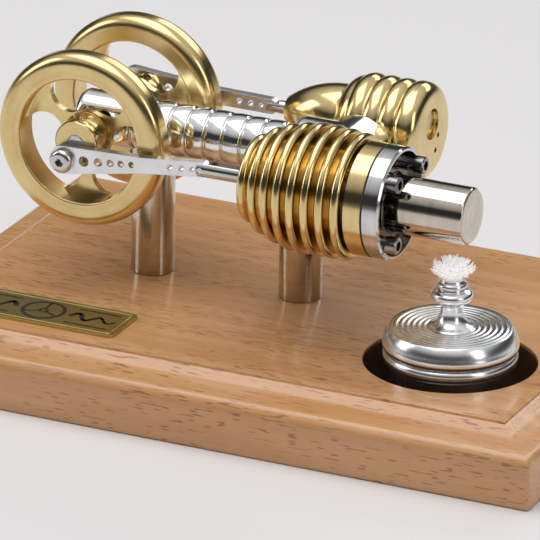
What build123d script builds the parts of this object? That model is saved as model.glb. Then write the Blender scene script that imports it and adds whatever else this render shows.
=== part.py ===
"""Twin-cylinder hot-air engine on a moulded beech board, with its spirit burner.

Millimetres, +Z up, +X towards the heated end. The origin is the centre of the
board's underside. The crankshaft runs along Y; the displacer cylinder stands on
the -Y side of the centre bar and the power cylinder on the +Y side.
"""
from math import acos, asin, cos, degrees, radians, sin, sqrt, tan
import os

from build123d import *

os.makedirs("parts", exist_ok=True)

# ---------------------------------------------------------------- board
board_length = 200.0
board_width = 140.0
board_thickness = 19.0
board_corner_radius = 1.2
side_height = 11.6
shoulder_radius = 3.8
moulding_width = 12.4
moulding_slope = radians(19)

# ---------------------------------------------------------------- layout
shaft_x = -57.0
engine_y = 1.0
shaft_z = board_thickness + 42.5
cylinder_offset = 24.5
power_rise = 2.0
crank_post_x = shaft_x + 13.2
cylinder_post_x = shaft_x + 58.2
burner_x = shaft_x + 114.0
crank_radius = 5.0
conrod_length = 42.0
displacer_crank_angle = radians(240)
power_crank_angle = radians(150)

# ---------------------------------------------------------------- fits
running_fit = 0.05
running_gap = 0.1

# ---------------------------------------------------------------- flywheels
wheel_radius = 25.0
rim_inner_radius = 17.9
rim_inboard = 13.1
rim_outboard = 21.8
rim_outer_round = 3.3
rim_inner_round = 0.6
web_inboard = 13.5
web_thickness = 2.1
hub_radius = 6.4
hub_outboard = 22.9
slot_mid_radius = 13.0
slot_width = 11.8
spoke_waist = 3.1
front_spoke_angle = 30.0
rear_spoke_angle = 16.6

# ---------------------------------------------------------------- shaft and bearings
shaft_radius = 2.5
bearing_inboard = 2.5
bearing_width = 3.0
bearing_outer_radius = 4.5
race_gap_inner = 3.05
race_gap_outer = 3.95
ball_radius = 0.42
ball_count = 8
sleeve_radius = 3.4
pin_hole_radius = 1.5

# ---------------------------------------------------------------- connecting rods
conrod_thickness = 2.6
conrod_inboard = hub_outboard + 0.3
conrod_outboard = conrod_inboard + conrod_thickness
big_end_radius = 4.1
small_end_radius = 2.15
taper_end = 24.0
conrod_bush_radius = 2.5
wrist_pin_radius = 0.85
big_end_holes = ((6.4, 1.5), (10.8, 1.25), (14.5, 1.1), (17.7, 1.0), (20.9, 0.9))
small_end_holes = ((32.6, 0.9), (36.1, 0.9), (39.3, 0.75))
washer_radius = 2.6
washer_thickness = 0.2
screw_head_radius = 3.4
screw_head_height = 2.3

# ---------------------------------------------------------------- sliding rods
displacer_rod_radius = 2.35
power_rod_radius = 1.9
fork_slot = conrod_thickness + 2 * running_gap
fork_overhang = 1.5
displacer_slot_reach = 11.5
power_slot_reach = small_end_radius + 0.5

# ---------------------------------------------------------------- centre bar
bar_radius = 7.4
bar_groove_radius = 6.5
bar_rib_round = 0.9
bar_rib_crown = 0.12
bar_left = shaft_x - 9.0
bar_rib_start = shaft_x + 9.0
bar_rib_pitch = 5.5
bar_rib_count = 8
drum_x = shaft_x + 71.0
drum_radius = 10.0
drum_left = shaft_x + 56.5
drum_front = engine_y - 6.0
drum_rear = engine_y + 10.4
spigot_radius = 4.0
passage_radius = 1.5
post_radius = 6.0
post_spigot_radius = 3.0

# ---------------------------------------------------------------- displacer cylinder
nose_left = shaft_x + 52.9
fin_first_x = shaft_x + 55.8
fin_pitch = 4.24
fin_count = 8
fin_thickness = 2.6
fin_root_radius = 12.4
dome_centre_x = shaft_x + 75.0
dome_half_length = 26.0
dome_radius = 18.2
collar_left = shaft_x + 87.4
collar_right = shaft_x + 92.9
collar_radius = 15.7
displacer_bore = 7.3
guide_bush_radius = 4.0

# ---------------------------------------------------------------- hot end
gasket_thickness = 0.3
flange_ring_radius = 15.7
flange_ring_length = 5.0
flange_floor = 0.8
flange_recess_radius = 14.55
cap_flange_radius = 14.5
cap_flange_thickness = 2.0
hot_cap_radius = 8.0
hot_cap_wall = 0.7
hot_cap_end = shaft_x + 119.4
flange_screw_count = 4
flange_screw_circle = 12.3
flange_screw_phase = 45.0
flange_sleeve_length = 2.6
flange_head_radius = 2.4
flange_head_length = 3.0
flange_thread_radius = 1.4

# ---------------------------------------------------------------- power cylinder
power_left = shaft_x + 42.9
power_mouth_radius = 3.4
power_neck_x = shaft_x + 60.8
power_neck_radius = 9.6
power_rib_radius = 14.0
power_rib_count = 3
power_rib_pitch = 4.8
power_rib_depth = 0.9
power_rib_left = shaft_x + 65.0
power_head_right = shaft_x + 86.3
head_round = 3.9
power_bore = 6.0
power_bore_left = shaft_x + 49.8
power_bore_right = shaft_x + 83.0
piston_length = 9.4

# ---------------------------------------------------------------- burner
recess_radius = 23.8
recess_floor = 5.0
tank_radius = 16.4
tank_ring_radius = 18.5
tank_ring_bottom = board_thickness - 0.3
tank_top = board_thickness + 3.2
lid_radius = 18.65
lid_top = board_thickness + 10.0
lid_flat_radius = 16.6
neck_top = board_thickness + 23.7
wick_radius = 2.1
wick_top = board_thickness + 31.6


def axis_z(side):
    """Height of a cylinder's axis: the power cylinder (side 1) stands a little above the shaft."""
    return shaft_z + power_rise if side > 0 else shaft_z


def across(y):
    """Upright plane at depth y, seen from the -Y side: local x is X, local y is Z."""
    return Plane(origin=(0, y, 0), x_dir=(1, 0, 0), z_dir=(0, -1, 0))


def along_cylinder(side):
    """Upright plane through a cylinder's axis, with local y measured out from the axis."""
    y = engine_y + side * cylinder_offset
    return Plane(origin=(0, y, axis_z(side)), x_dir=(1, 0, 0), z_dir=(0, -1, 0))


def cylinder_axis(side):
    """The axis of the displacer cylinder (side -1) or the power cylinder (side 1)."""
    return Axis((0, engine_y + side * cylinder_offset, axis_z(side)), (1, 0, 0))


def along_shaft(side):
    """Plane through the crankshaft: local x is the distance outboard, local y is up."""
    return Plane(origin=(shaft_x, engine_y, shaft_z), x_dir=(0, side, 0), z_dir=(side, 0, 0))


shaft_axis = Axis((shaft_x, engine_y, shaft_z), (0, 1, 0))
bar_plane = Plane(origin=(0, engine_y, shaft_z), x_dir=(1, 0, 0), z_dir=(0, -1, 0))
bar_axis = Axis((0, engine_y, shaft_z), (1, 0, 0))


def facing_shaft(side, outboard):
    """Plane square to the crankshaft, its normal outboard, local y up."""
    origin = (shaft_x, engine_y + side * outboard, shaft_z)
    return Plane(origin=origin, x_dir=(-side, 0, 0), z_dir=(0, side, 0))


def turned(plane, axis, *outlines):
    """Solids of revolution from closed outlines drawn in one plane."""
    with BuildPart() as piece:
        for outline in outlines:
            with BuildSketch(plane):
                with BuildLine():
                    Polyline(*outline, close=True)
                make_face()
            revolve(axis=axis)
    return piece


def finish_piece(piece, label):
    """Name a finished piece and write it to its own file."""
    piece.part.label = label
    export_step(piece.part, f"parts/{label}.step")
    solids = piece.part.solids()
    print(f"{label:24s} solids {len(solids):3d}  volume {piece.part.volume / 1000:9.3f} cm3")


# ================================================================ board
def moulded_outline(width):
    """Section of the board across one direction: plain sides, round shoulders, sloping top edge."""
    half = width / 2
    shoulder_dx = shoulder_radius * (1 - sin(moulding_slope))
    shoulder_z = side_height + shoulder_radius * cos(moulding_slope)
    slope_top = shoulder_z + (moulding_width - shoulder_dx) * tan(moulding_slope)
    Line((-half, 0), (half, 0))
    for side in (-1, 1):
        Line((side * half, 0), (side * half, side_height))
        TangentArc(
            (side * half, side_height), (side * (half - shoulder_dx), shoulder_z), tangent=(0, 1)
        )
        Line(
            (side * (half - shoulder_dx), shoulder_z), (side * (half - moulding_width), slope_top)
        )
        Line(
            (side * (half - moulding_width), slope_top),
            (side * (half - moulding_width), board_thickness),
        )
    Line((moulding_width - half, board_thickness), (half - moulding_width, board_thickness))


foot_screw_x = (crank_post_x, cylinder_post_x)
foot_head_radius = 3.6
foot_head_depth = 4.0
foot_head_height = 2.4
foot_shank_radius = 2.0
foot_thread_depth = 9.0
foot_clearance = 0.3

with BuildPart() as base_board:
    with BuildSketch(Plane.XZ):
        with BuildLine():
            moulded_outline(board_length)
        make_face()
    extrude(amount=board_width / 2, both=True)
    with BuildSketch(Plane.YZ):
        with BuildLine():
            moulded_outline(board_width)
        make_face()
    extrude(amount=board_length / 2, both=True, mode=Mode.INTERSECT)
    with BuildSketch(Plane.XY):
        RectangleRounded(board_length, board_width, board_corner_radius)
    extrude(amount=board_thickness, mode=Mode.INTERSECT)
    with Locations((burner_x, engine_y - cylinder_offset, board_thickness)):
        Hole(recess_radius, depth=board_thickness - recess_floor)
    with BuildSketch(Plane.XY):
        with Locations(*[(x, engine_y) for x in foot_screw_x]):
            Circle(foot_shank_radius + foot_clearance)
    extrude(amount=board_thickness, mode=Mode.SUBTRACT)
    with BuildSketch(Plane.XY):
        with Locations(*[(x, engine_y) for x in foot_screw_x]):
            Circle(foot_head_radius + foot_clearance)
    extrude(amount=foot_head_depth, mode=Mode.SUBTRACT)
finish_piece(base_board, "base_board")

plate_length = 50.0
plate_width = 18.0
plate_thickness = 0.8
plate_corner = 2.2
plate_groove = 0.12
plate_centre = (shaft_x + 0.8, engine_y - 43.8)

with BuildPart() as nameplate:
    with BuildSketch(Plane.XY.offset(board_thickness)):
        with Locations(plate_centre):
            RectangleRounded(plate_length, plate_width, plate_corner)
    extrude(amount=plate_thickness)
    with BuildSketch(Plane.XY.offset(board_thickness + plate_thickness)):
        with Locations(plate_centre):
            RectangleRounded(plate_length - 2.2, plate_width - 2.2, plate_corner - 0.8)
            RectangleRounded(
                plate_length - 3.2, plate_width - 3.2, plate_corner - 1.2, mode=Mode.SUBTRACT
            )
    extrude(amount=-plate_groove, mode=Mode.SUBTRACT)
finish_piece(nameplate, "nameplate")

# ================================================================ posts
post_spigot_top = shaft_z - bar_radius + 3.0


def make_post(x):
    """Upright post: saddle top under the centre bar, spigot into it, tapped from below."""
    with BuildPart() as post:
        with BuildSketch(Plane.XY.offset(board_thickness)):
            with Locations((x, engine_y)):
                Circle(post_radius)
        extrude(amount=shaft_z - board_thickness)
        chamfer(post.edges().group_by(Axis.Z)[0], 0.3)
        with BuildSketch(Plane.YZ.offset(x - 2 * post_radius)):
            with Locations((engine_y, shaft_z)):
                Circle(bar_radius + 0.02)
        extrude(amount=4 * post_radius, mode=Mode.SUBTRACT)
        with BuildSketch(Plane.XY.offset(shaft_z - bar_radius - 4)):
            with Locations((x, engine_y)):
                Circle(post_spigot_radius)
        extrude(amount=post_spigot_top - shaft_z + bar_radius + 4)
        with BuildSketch(Plane.XY.offset(board_thickness)):
            with Locations((x, engine_y)):
                Circle(foot_shank_radius)
        extrude(amount=foot_thread_depth + 1, mode=Mode.SUBTRACT)
    return post


for post_name, post_x in (("crank_post", crank_post_x), ("cylinder_post", cylinder_post_x)):
    finish_piece(make_post(post_x), post_name)

with BuildPart() as post_screws:
    with BuildSketch(Plane.XY.offset(foot_head_depth - foot_head_height)):
        with Locations(*[(x, engine_y) for x in foot_screw_x]):
            Circle(foot_head_radius)
            RegularPolygon(radius=1.5, side_count=6, mode=Mode.SUBTRACT)
    extrude(amount=foot_head_height - 0.8)
    with BuildSketch(Plane.XY.offset(foot_head_depth - 0.8)):
        with Locations(*[(x, engine_y) for x in foot_screw_x]):
            Circle(foot_head_radius)
    extrude(amount=0.8)
    with BuildSketch(Plane.XY.offset(foot_head_depth)):
        with Locations(*[(x, engine_y) for x in foot_screw_x]):
            Circle(foot_shank_radius - 0.03)
    extrude(amount=board_thickness + foot_thread_depth - foot_head_depth)
finish_piece(post_screws, "post_screws")

# ================================================================ centre bar and drum
bar_dome = 2.6
bar_rib_end = bar_rib_start + bar_rib_count * bar_rib_pitch
bar_spigot_end = drum_x - 3.5

with BuildPart() as spine_bar:
    with BuildSketch(bar_plane):
        with BuildLine():
            Line((bar_left, 0), (bar_left, bar_radius - bar_dome))
            RadiusArc(
                (bar_left, bar_radius - bar_dome), (bar_left + bar_dome, bar_radius), bar_dome
            )
            Line((bar_left + bar_dome, bar_radius), (bar_rib_start - 1.0, bar_radius))
            Line((bar_rib_start - 1.0, bar_radius), (bar_rib_start, bar_groove_radius))
            for rib in range(bar_rib_count):
                rib_left = bar_rib_start + rib * bar_rib_pitch
                rib_right = rib_left + bar_rib_pitch
                RadiusArc(
                    (rib_left, bar_groove_radius), (rib_left + bar_rib_round, bar_radius),
                    bar_rib_round,
                )
                ThreePointArc(
                    (rib_left + bar_rib_round, bar_radius),
                    ((rib_left + rib_right) / 2, bar_radius + bar_rib_crown),
                    (rib_right - bar_rib_round, bar_radius),
                )
                RadiusArc(
                    (rib_right - bar_rib_round, bar_radius), (rib_right, bar_groove_radius),
                    bar_rib_round,
                )
            Polyline(
                (bar_rib_end, bar_groove_radius), (bar_rib_end + 1.0, bar_radius),
                (drum_left, bar_radius), (drum_left, spigot_radius),
                (bar_spigot_end, spigot_radius), (bar_spigot_end, 0), (bar_left, 0),
            )
        make_face()
    revolve(axis=bar_axis)
    with BuildSketch(across(engine_y)):
        with Locations((shaft_x, shaft_z)):
            Circle(race_gap_outer)
    extrude(amount=2 * bar_radius, both=True, mode=Mode.SUBTRACT)
    for side in (-1, 1):
        with BuildSketch(facing_shaft(side, bearing_inboard)):
            Circle(bearing_outer_radius)
        extrude(amount=2 * bar_radius, mode=Mode.SUBTRACT)
    with BuildSketch(Plane.XY.offset(shaft_z - 2 * bar_radius)):
        with Locations(*[(x, engine_y) for x in foot_screw_x]):
            Circle(post_spigot_radius + 0.02)
    extrude(amount=post_spigot_top - shaft_z + 2 * bar_radius + 0.1, mode=Mode.SUBTRACT)
finish_piece(spine_bar, "spine_bar")

nipple_radius = 2.5
nipple_reach = 4.0
drum_round = 2.2
drum_plane = Plane(origin=(drum_x, 0, shaft_z), x_dir=(1, 0, 0), z_dir=(0, 1, 0))
under_drum = Plane.XY.offset(shaft_z - 2 * drum_radius)

with BuildPart() as transfer_drum:
    with BuildSketch(drum_plane.offset(drum_front)):
        Circle(drum_radius)
    extrude(amount=drum_rear - drum_front)
    fillet(transfer_drum.edges().filter_by(GeomType.CIRCLE), drum_round)
    with BuildSketch(bar_plane):
        with BuildLine():
            Line((drum_x, 0), (drum_left, 0))
            Line((drum_left, 0), (drum_left, drum_radius - drum_round))
            TangentArc(
                (drum_left, drum_radius - drum_round), (drum_left + drum_round, drum_radius),
                tangent=(0, 1),
            )
            Line((drum_left + drum_round, drum_radius), (drum_x, drum_radius))
            Line((drum_x, drum_radius), (drum_x, 0))
        make_face()
    revolve(axis=bar_axis)
    with BuildSketch(under_drum):
        with Locations((cylinder_post_x, engine_y)):
            Circle(post_radius + 0.02)
    extrude(amount=2 * drum_radius, mode=Mode.SUBTRACT)
    with BuildSketch(Plane.YZ.offset(drum_left)):
        with Locations((engine_y, shaft_z)):
            Circle(bar_radius)
    extrude(amount=drum_x - drum_left)
    with BuildSketch(drum_plane.offset(drum_front)):
        Rectangle(4 * drum_radius, 2 * drum_radius)
    extrude(amount=-drum_radius, mode=Mode.SUBTRACT)
    with BuildSketch(under_drum):
        with Locations((cylinder_post_x, engine_y)):
            Circle(post_spigot_radius + 0.02)
    extrude(amount=post_spigot_top + 0.1 - shaft_z + 2 * drum_radius, mode=Mode.SUBTRACT)
    with BuildSketch(drum_plane.offset(drum_front)):
        Circle(passage_radius)
    extrude(amount=drum_rear - drum_front, mode=Mode.SUBTRACT)
    for face_y, inward in ((drum_front, 1), (drum_rear, -1)):
        with BuildSketch(drum_plane.offset(face_y)):
            Circle(nipple_radius)
        extrude(amount=inward * nipple_reach, mode=Mode.SUBTRACT)
    with BuildSketch(Plane.YZ.offset(drum_left)):
        with Locations((engine_y, shaft_z)):
            Circle(spigot_radius + 0.02)
    extrude(amount=bar_spigot_end + 0.1 - drum_left, mode=Mode.SUBTRACT)
finish_piece(transfer_drum, "transfer_drum")


def make_nipple(face_y, outward, length):
    """Hollow nipple that joins the drum to one cylinder, reaching both ways from the drum's face."""
    with BuildPart() as nipple:
        with BuildSketch(drum_plane.offset(face_y - outward * nipple_reach)):
            Circle(nipple_radius - 0.02)
            Circle(passage_radius - 0.3, mode=Mode.SUBTRACT)
        extrude(amount=outward * (nipple_reach + length))
    return nipple


front_boss_depth = 5.2
rear_boss_depth = 4.2
finish_piece(make_nipple(drum_front, -1, front_boss_depth), "displacer_nipple")
finish_piece(make_nipple(drum_rear, 1, rear_boss_depth), "power_nipple")

# ================================================================ bearings and crankshaft
race_left = bearing_inboard

with BuildPart() as bearing_outer_rings:
    for side in (-1, 1):
        with BuildSketch(facing_shaft(side, race_left)):
            Circle(bearing_outer_radius - 0.01)
            Circle(race_gap_outer, mode=Mode.SUBTRACT)
        extrude(amount=bearing_width)
finish_piece(bearing_outer_rings, "bearing_outer_rings")

with BuildPart() as bearing_inner_rings:
    for side in (-1, 1):
        with BuildSketch(facing_shaft(side, race_left)):
            Circle(race_gap_inner)
            Circle(shaft_radius, mode=Mode.SUBTRACT)
        extrude(amount=bearing_width)
finish_piece(bearing_inner_rings, "bearing_inner_rings")

ball_circle = (race_gap_inner + race_gap_outer) / 2
with BuildPart() as bearing_balls:
    for side in (-1, 1):
        with Locations(facing_shaft(side, race_left + bearing_width / 2)):
            with PolarLocations(ball_circle, ball_count):
                Sphere(ball_radius)
finish_piece(bearing_balls, "bearing_balls")

with BuildPart() as crankshaft:
    with BuildSketch(across(engine_y)):
        with Locations((shaft_x, shaft_z)):
            Circle(shaft_radius)
    extrude(amount=hub_outboard + 0.1, both=True)
    chamfer(crankshaft.edges().filter_by(GeomType.CIRCLE), 0.4)
finish_piece(crankshaft, "crankshaft")

with BuildPart() as shaft_sleeves:
    for side in (-1, 1):
        with BuildSketch(facing_shaft(side, race_left + bearing_width)):
            Circle(sleeve_radius)
            Circle(shaft_radius, mode=Mode.SUBTRACT)
        extrude(amount=web_inboard - race_left - bearing_width)
finish_piece(shaft_sleeves, "shaft_sleeves")


# ================================================================ flywheels
def pin_point(angle):
    """Crank pin's place from the shaft axis, as X and Z offsets."""
    return crank_radius * cos(angle), crank_radius * sin(angle)


def rim_outline(left, right):
    """Section of the rim: boldly rounded outside, lightly rounded at the bore's edges."""
    bore, tread = rim_inner_radius, wheel_radius
    small, large = rim_inner_round, rim_outer_round
    Line((left + small, bore), (right - small, bore))
    TangentArc((right - small, bore), (right, bore + small), tangent=(1, 0))
    Line((right, bore + small), (right, tread - large))
    TangentArc((right, tread - large), (right - large, tread), tangent=(0, 1))
    Line((right - large, tread), (left + large, tread))
    TangentArc((left + large, tread), (left, tread - large), tangent=(-1, 0))
    Line((left, tread - large), (left, bore + small))
    TangentArc((left, bore + small), (left + small, bore), tangent=(0, -1))


def make_flywheel(side, spoke_angle, pin_angle):
    """Brass flywheel: deep rim, thin web with three arc slots, stepped hub drilled for its pin."""
    slot_clear_angle = degrees(asin((spoke_waist + slot_width) / 2 / slot_mid_radius))
    slot_sweep = 120 - 2 * slot_clear_angle
    pin_x, pin_z = pin_point(pin_angle)
    grub_y = engine_y + side * (hub_outboard - 3.6)
    grub_angle = spoke_angle + 60
    with BuildPart() as wheel:
        with BuildSketch(facing_shaft(1, side * web_inboard)):
            Circle(rim_inner_radius + 1.0)
        extrude(amount=side * web_thickness)
        with BuildSketch(facing_shaft(1, side * web_inboard)):
            for spoke in range(3):
                start = 180 - (spoke_angle + spoke * 120 + slot_clear_angle + slot_sweep)
                with BuildLine(mode=Mode.PRIVATE) as slot_path:
                    CenterArc((0, 0), slot_mid_radius, start, slot_sweep)
                SlotArc(slot_path.edge(), slot_width)
        extrude(amount=side * web_thickness, mode=Mode.SUBTRACT)
        with BuildSketch(along_shaft(side)):
            with BuildLine():
                rim_outline(rim_inboard, rim_outboard)
            make_face()
        revolve(axis=shaft_axis)
        with BuildSketch(along_shaft(side)):
            with BuildLine():
                Polyline(
                    (web_inboard, 0), (web_inboard, hub_radius + 0.4),
                    (web_inboard + web_thickness + 0.6, hub_radius + 0.4),
                    (web_inboard + web_thickness + 0.9, hub_radius - 0.35),
                    (hub_outboard - 3.0, hub_radius - 0.35), (hub_outboard - 2.7, hub_radius),
                    (hub_outboard - 0.4, hub_radius), (hub_outboard, hub_radius - 0.4),
                    (hub_outboard, 0), close=True,
                )
            make_face()
        revolve(axis=shaft_axis)
        with BuildSketch(facing_shaft(1, side * (hub_outboard + 1))):
            Circle(shaft_radius)
            with Locations((-pin_x, pin_z)):
                Circle(pin_hole_radius)
        extrude(amount=-side * (hub_outboard - web_inboard + 2), mode=Mode.SUBTRACT)
        with BuildSketch(grub_plane(side, grub_y, grub_angle)):
            Circle(1.5)
        extrude(amount=hub_radius + 1, mode=Mode.SUBTRACT)
    return wheel


def grub_plane(side, y, angle):
    """Plane at the shaft axis that faces outwards along the grub screw."""
    direction = (cos(radians(angle)), 0, sin(radians(angle)))
    return Plane(origin=(shaft_x, y, shaft_z), x_dir=(0, side, 0), z_dir=direction)


front_wheel = make_flywheel(-1, front_spoke_angle, displacer_crank_angle)
finish_piece(front_wheel, "front_flywheel")
rear_wheel = make_flywheel(1, rear_spoke_angle, power_crank_angle)
finish_piece(rear_wheel, "rear_flywheel")

with BuildPart() as hub_grub_screws:
    for side, spoke_angle in ((-1, front_spoke_angle), (1, rear_spoke_angle)):
        grub_y = engine_y + side * (hub_outboard - 3.6)
        with BuildSketch(grub_plane(side, grub_y, spoke_angle + 60).offset(shaft_radius)):
            Circle(1.48)
        extrude(amount=2.6)
        with BuildSketch(grub_plane(side, grub_y, spoke_angle + 60).offset(shaft_radius + 2.6)):
            RegularPolygon(radius=0.8, side_count=6)
        extrude(amount=-1.4, mode=Mode.SUBTRACT)
finish_piece(hub_grub_screws, "hub_grub_screws")


# ================================================================ connecting rods
def wrist_x(side, angle):
    """Wrist pin's distance from the shaft along X at a crank angle."""
    climb = axis_z(side) - shaft_z - crank_radius * sin(angle)
    return crank_radius * cos(angle) + sqrt(conrod_length**2 - climb**2)


def conrod_plane(side, angle, outboard):
    """Plane on one connecting rod, origin at its crank pin, local x along the rod."""
    pin_x, pin_z = pin_point(angle)
    climb = axis_z(side) - shaft_z - pin_z
    direction = Vector(wrist_x(side, angle) - pin_x, 0, climb).normalized()
    origin = (shaft_x + pin_x, engine_y + side * outboard, shaft_z + pin_z)
    return Plane(origin=origin, x_dir=direction, z_dir=(0, side, 0))


def make_conrod(side, angle):
    """Tapered connecting rod with lightening holes and a bored eye at each end."""
    with BuildPart() as conrod:
        with BuildSketch(conrod_plane(side, angle, conrod_inboard)):
            for start, start_radius, end, end_radius in (
                (0, big_end_radius, taper_end, small_end_radius + 0.1),
                (taper_end, small_end_radius + 0.1, conrod_length, small_end_radius),
            ):
                lean = acos((start_radius - end_radius) / (end - start))
                with BuildLine():
                    Polyline(
                        (start + start_radius * cos(lean), start_radius * sin(lean)),
                        (end + end_radius * cos(lean), end_radius * sin(lean)),
                        (end + end_radius * cos(lean), -end_radius * sin(lean)),
                        (start + start_radius * cos(lean), -start_radius * sin(lean)),
                        close=True,
                    )
                make_face()
                with Locations((start, 0)):
                    Circle(start_radius)
                with Locations((end, 0)):
                    Circle(end_radius)
            for distance, radius in big_end_holes + small_end_holes:
                with Locations((distance, 0)):
                    Circle(radius, mode=Mode.SUBTRACT)
            Circle(conrod_bush_radius, mode=Mode.SUBTRACT)
            with Locations((conrod_length, 0)):
                Circle(wrist_pin_radius + running_fit, mode=Mode.SUBTRACT)
        extrude(amount=conrod_thickness)
    return conrod


def make_conrod_bush(side, angle):
    """Bronze bush in the big end."""
    with BuildPart() as bush:
        with BuildSketch(conrod_plane(side, angle, conrod_inboard)):
            Circle(conrod_bush_radius - 0.01)
            Circle(pin_hole_radius + running_fit, mode=Mode.SUBTRACT)
        extrude(amount=conrod_thickness)
    return bush


def make_pin_washer(side, angle):
    """Thin washer between the hub's face and the big end."""
    with BuildPart() as washer:
        with BuildSketch(conrod_plane(side, angle, conrod_inboard - washer_thickness)):
            Circle(washer_radius)
            Circle(pin_hole_radius + running_fit, mode=Mode.SUBTRACT)
        extrude(amount=washer_thickness)
    return washer


def make_crank_pin(side, angle, reach):
    """Domed screw that is the crank pin: head outboard of the rod, shank in as far as reach."""
    with BuildPart() as pin:
        with BuildSketch(conrod_plane(side, angle, conrod_inboard - reach)):
            Circle(pin_hole_radius - 0.01)
        extrude(amount=conrod_thickness + 0.5 + reach)
        with BuildSketch(conrod_plane(side, angle, conrod_outboard + 0.05)):
            Circle(screw_head_radius)
        extrude(amount=screw_head_height)
        fillet(pin.faces().sort_by(Axis.Y)[0 if side < 0 else -1].edges(), 1.5)
        with BuildSketch(conrod_plane(side, angle, conrod_outboard + 0.05 + screw_head_height)):
            RegularPolygon(radius=1.35, side_count=6)
        extrude(amount=-1.5, mode=Mode.SUBTRACT)
    return pin


def make_sliding_rod(side, angle, rod_radius, end_x, slot_reach):
    """Round rod with a forked end that takes the small end of its connecting rod."""
    pin_x = shaft_x + wrist_x(side, angle)
    left = pin_x - fork_overhang
    with BuildPart() as rod:
        with BuildSketch(Plane.YZ.offset(left)):
            with Locations((engine_y + side * cylinder_offset, axis_z(side))):
                Circle(rod_radius)
        extrude(amount=end_x - left)
        chamfer(rod.faces().sort_by(Axis.X)[0].edges(), 0.5)
        with BuildSketch(Plane.YZ.offset(left - 1)):
            with Locations((engine_y + side * cylinder_offset, axis_z(side))):
                Rectangle(fork_slot, 4 * rod_radius)
        extrude(amount=pin_x + slot_reach - left + 1, mode=Mode.SUBTRACT)
        with BuildSketch(across(engine_y + side * cylinder_offset)):
            with Locations((pin_x, axis_z(side))):
                Circle(wrist_pin_radius)
        extrude(amount=2 * rod_radius, both=True, mode=Mode.SUBTRACT)
    return rod


def make_wrist_pin(side, angle, inner, outer):
    """Length of the wrist pin between two distances from its middle, on both sides."""
    with BuildPart() as pin:
        for half in (-1, 1):
            middle = engine_y + side * cylinder_offset
            with BuildSketch(across(middle + half * inner)):
                with Locations((shaft_x + wrist_x(side, angle), axis_z(side))):
                    Circle(wrist_pin_radius - 0.01)
            extrude(amount=-half * (outer - inner))
    return pin


displacer_left = shaft_x + 62.0
displacer_right = shaft_x + 109.8
piston_left = shaft_x + 50.6


def wrist_pin_half(rod_radius):
    """Half the length of a wrist pin that stays inside its rod's round outline."""
    return sqrt(rod_radius**2 - wrist_pin_radius**2) - 0.05


for name, side, angle, pin_reach, rod_radius, rod_end, slot_reach in (
    (
        "displacer", -1, displacer_crank_angle, 4.5,
        displacer_rod_radius, displacer_left + 3.0, displacer_slot_reach,
    ),
    (
        "power", 1, power_crank_angle, washer_thickness,
        power_rod_radius, piston_left + 3.0, power_slot_reach,
    ),
):
    finish_piece(make_conrod(side, angle), f"{name}_conrod")
    finish_piece(make_conrod_bush(side, angle), f"{name}_conrod_bush")
    finish_piece(make_pin_washer(side, angle), f"{name}_pin_washer")
    finish_piece(make_crank_pin(side, angle, pin_reach), f"{name}_crank_pin")
    rod = make_sliding_rod(side, angle, rod_radius, rod_end, slot_reach)
    finish_piece(rod, f"{name}_rod")

front_pin_core = make_wrist_pin(-1, displacer_crank_angle, 0, conrod_thickness / 2)
finish_piece(front_pin_core, "displacer_wrist_pin_core")
front_pin_ends = make_wrist_pin(
    -1, displacer_crank_angle, fork_slot / 2, wrist_pin_half(displacer_rod_radius)
)
finish_piece(front_pin_ends, "displacer_wrist_pin_ends")
rear_wrist_pin = make_wrist_pin(1, power_crank_angle, 0, wrist_pin_half(power_rod_radius))
finish_piece(rear_wrist_pin, "power_wrist_pin")

# ================================================================ displacer and piston
displacer_radius = 6.9
displacer_wall = 0.5
front = along_cylinder(-1)
rear = along_cylinder(1)

displacer = turned(
    front, cylinder_axis(-1),
    [
        (displacer_left, displacer_rod_radius), (displacer_left, displacer_radius - 0.6),
        (displacer_left + 0.6, displacer_radius), (displacer_right - 0.6, displacer_radius),
        (displacer_right, displacer_radius - 0.6), (displacer_right, 0),
        (displacer_right - 1.0, 0), (displacer_right - 1.0, displacer_radius - displacer_wall),
        (displacer_left + 3.0, displacer_radius - displacer_wall),
        (displacer_left + 3.0, displacer_rod_radius),
    ],
)
finish_piece(displacer, "displacer")

with BuildPart() as power_piston:
    with BuildSketch(rear):
        with BuildLine():
            Polyline(
                (piston_left, power_rod_radius), (piston_left, power_bore - running_fit),
                (piston_left + piston_length, power_bore - running_fit),
                (piston_left + piston_length, 0), (piston_left + 3.0, 0),
                (piston_left + 3.0, power_rod_radius), close=True,
            )
        make_face()
    revolve(axis=cylinder_axis(1))
    with BuildSketch(rear):
        for groove in range(2):
            with Locations((piston_left + 4.0 + 2.4 * groove, power_bore)):
                Rectangle(0.6, 0.6)
    revolve(axis=cylinder_axis(1), mode=Mode.SUBTRACT)
finish_piece(power_piston, "power_piston")


# ================================================================ displacer cylinder
def flange_circles(x, radius):
    """Circles of the flange screws in a plane square to the displacer cylinder."""
    with BuildSketch(Plane.YZ.offset(x)) as circles:
        with Locations((engine_y - cylinder_offset, shaft_z)):
            with PolarLocations(flange_screw_circle, flange_screw_count, flange_screw_phase):
                Circle(radius)
    return circles.sketch


def dome_height(x):
    """Radius of the fins' common outline at x: a quarter ellipse that eases off to the right."""
    reach = (dome_centre_x - x) / dome_half_length
    if reach > 0:
        return dome_radius * sqrt(1 - reach**2)
    return dome_radius * (1 - 0.26 * reach**2)


body_left_radius = 7.0
core_step_x = fin_first_x - 1.0

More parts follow.
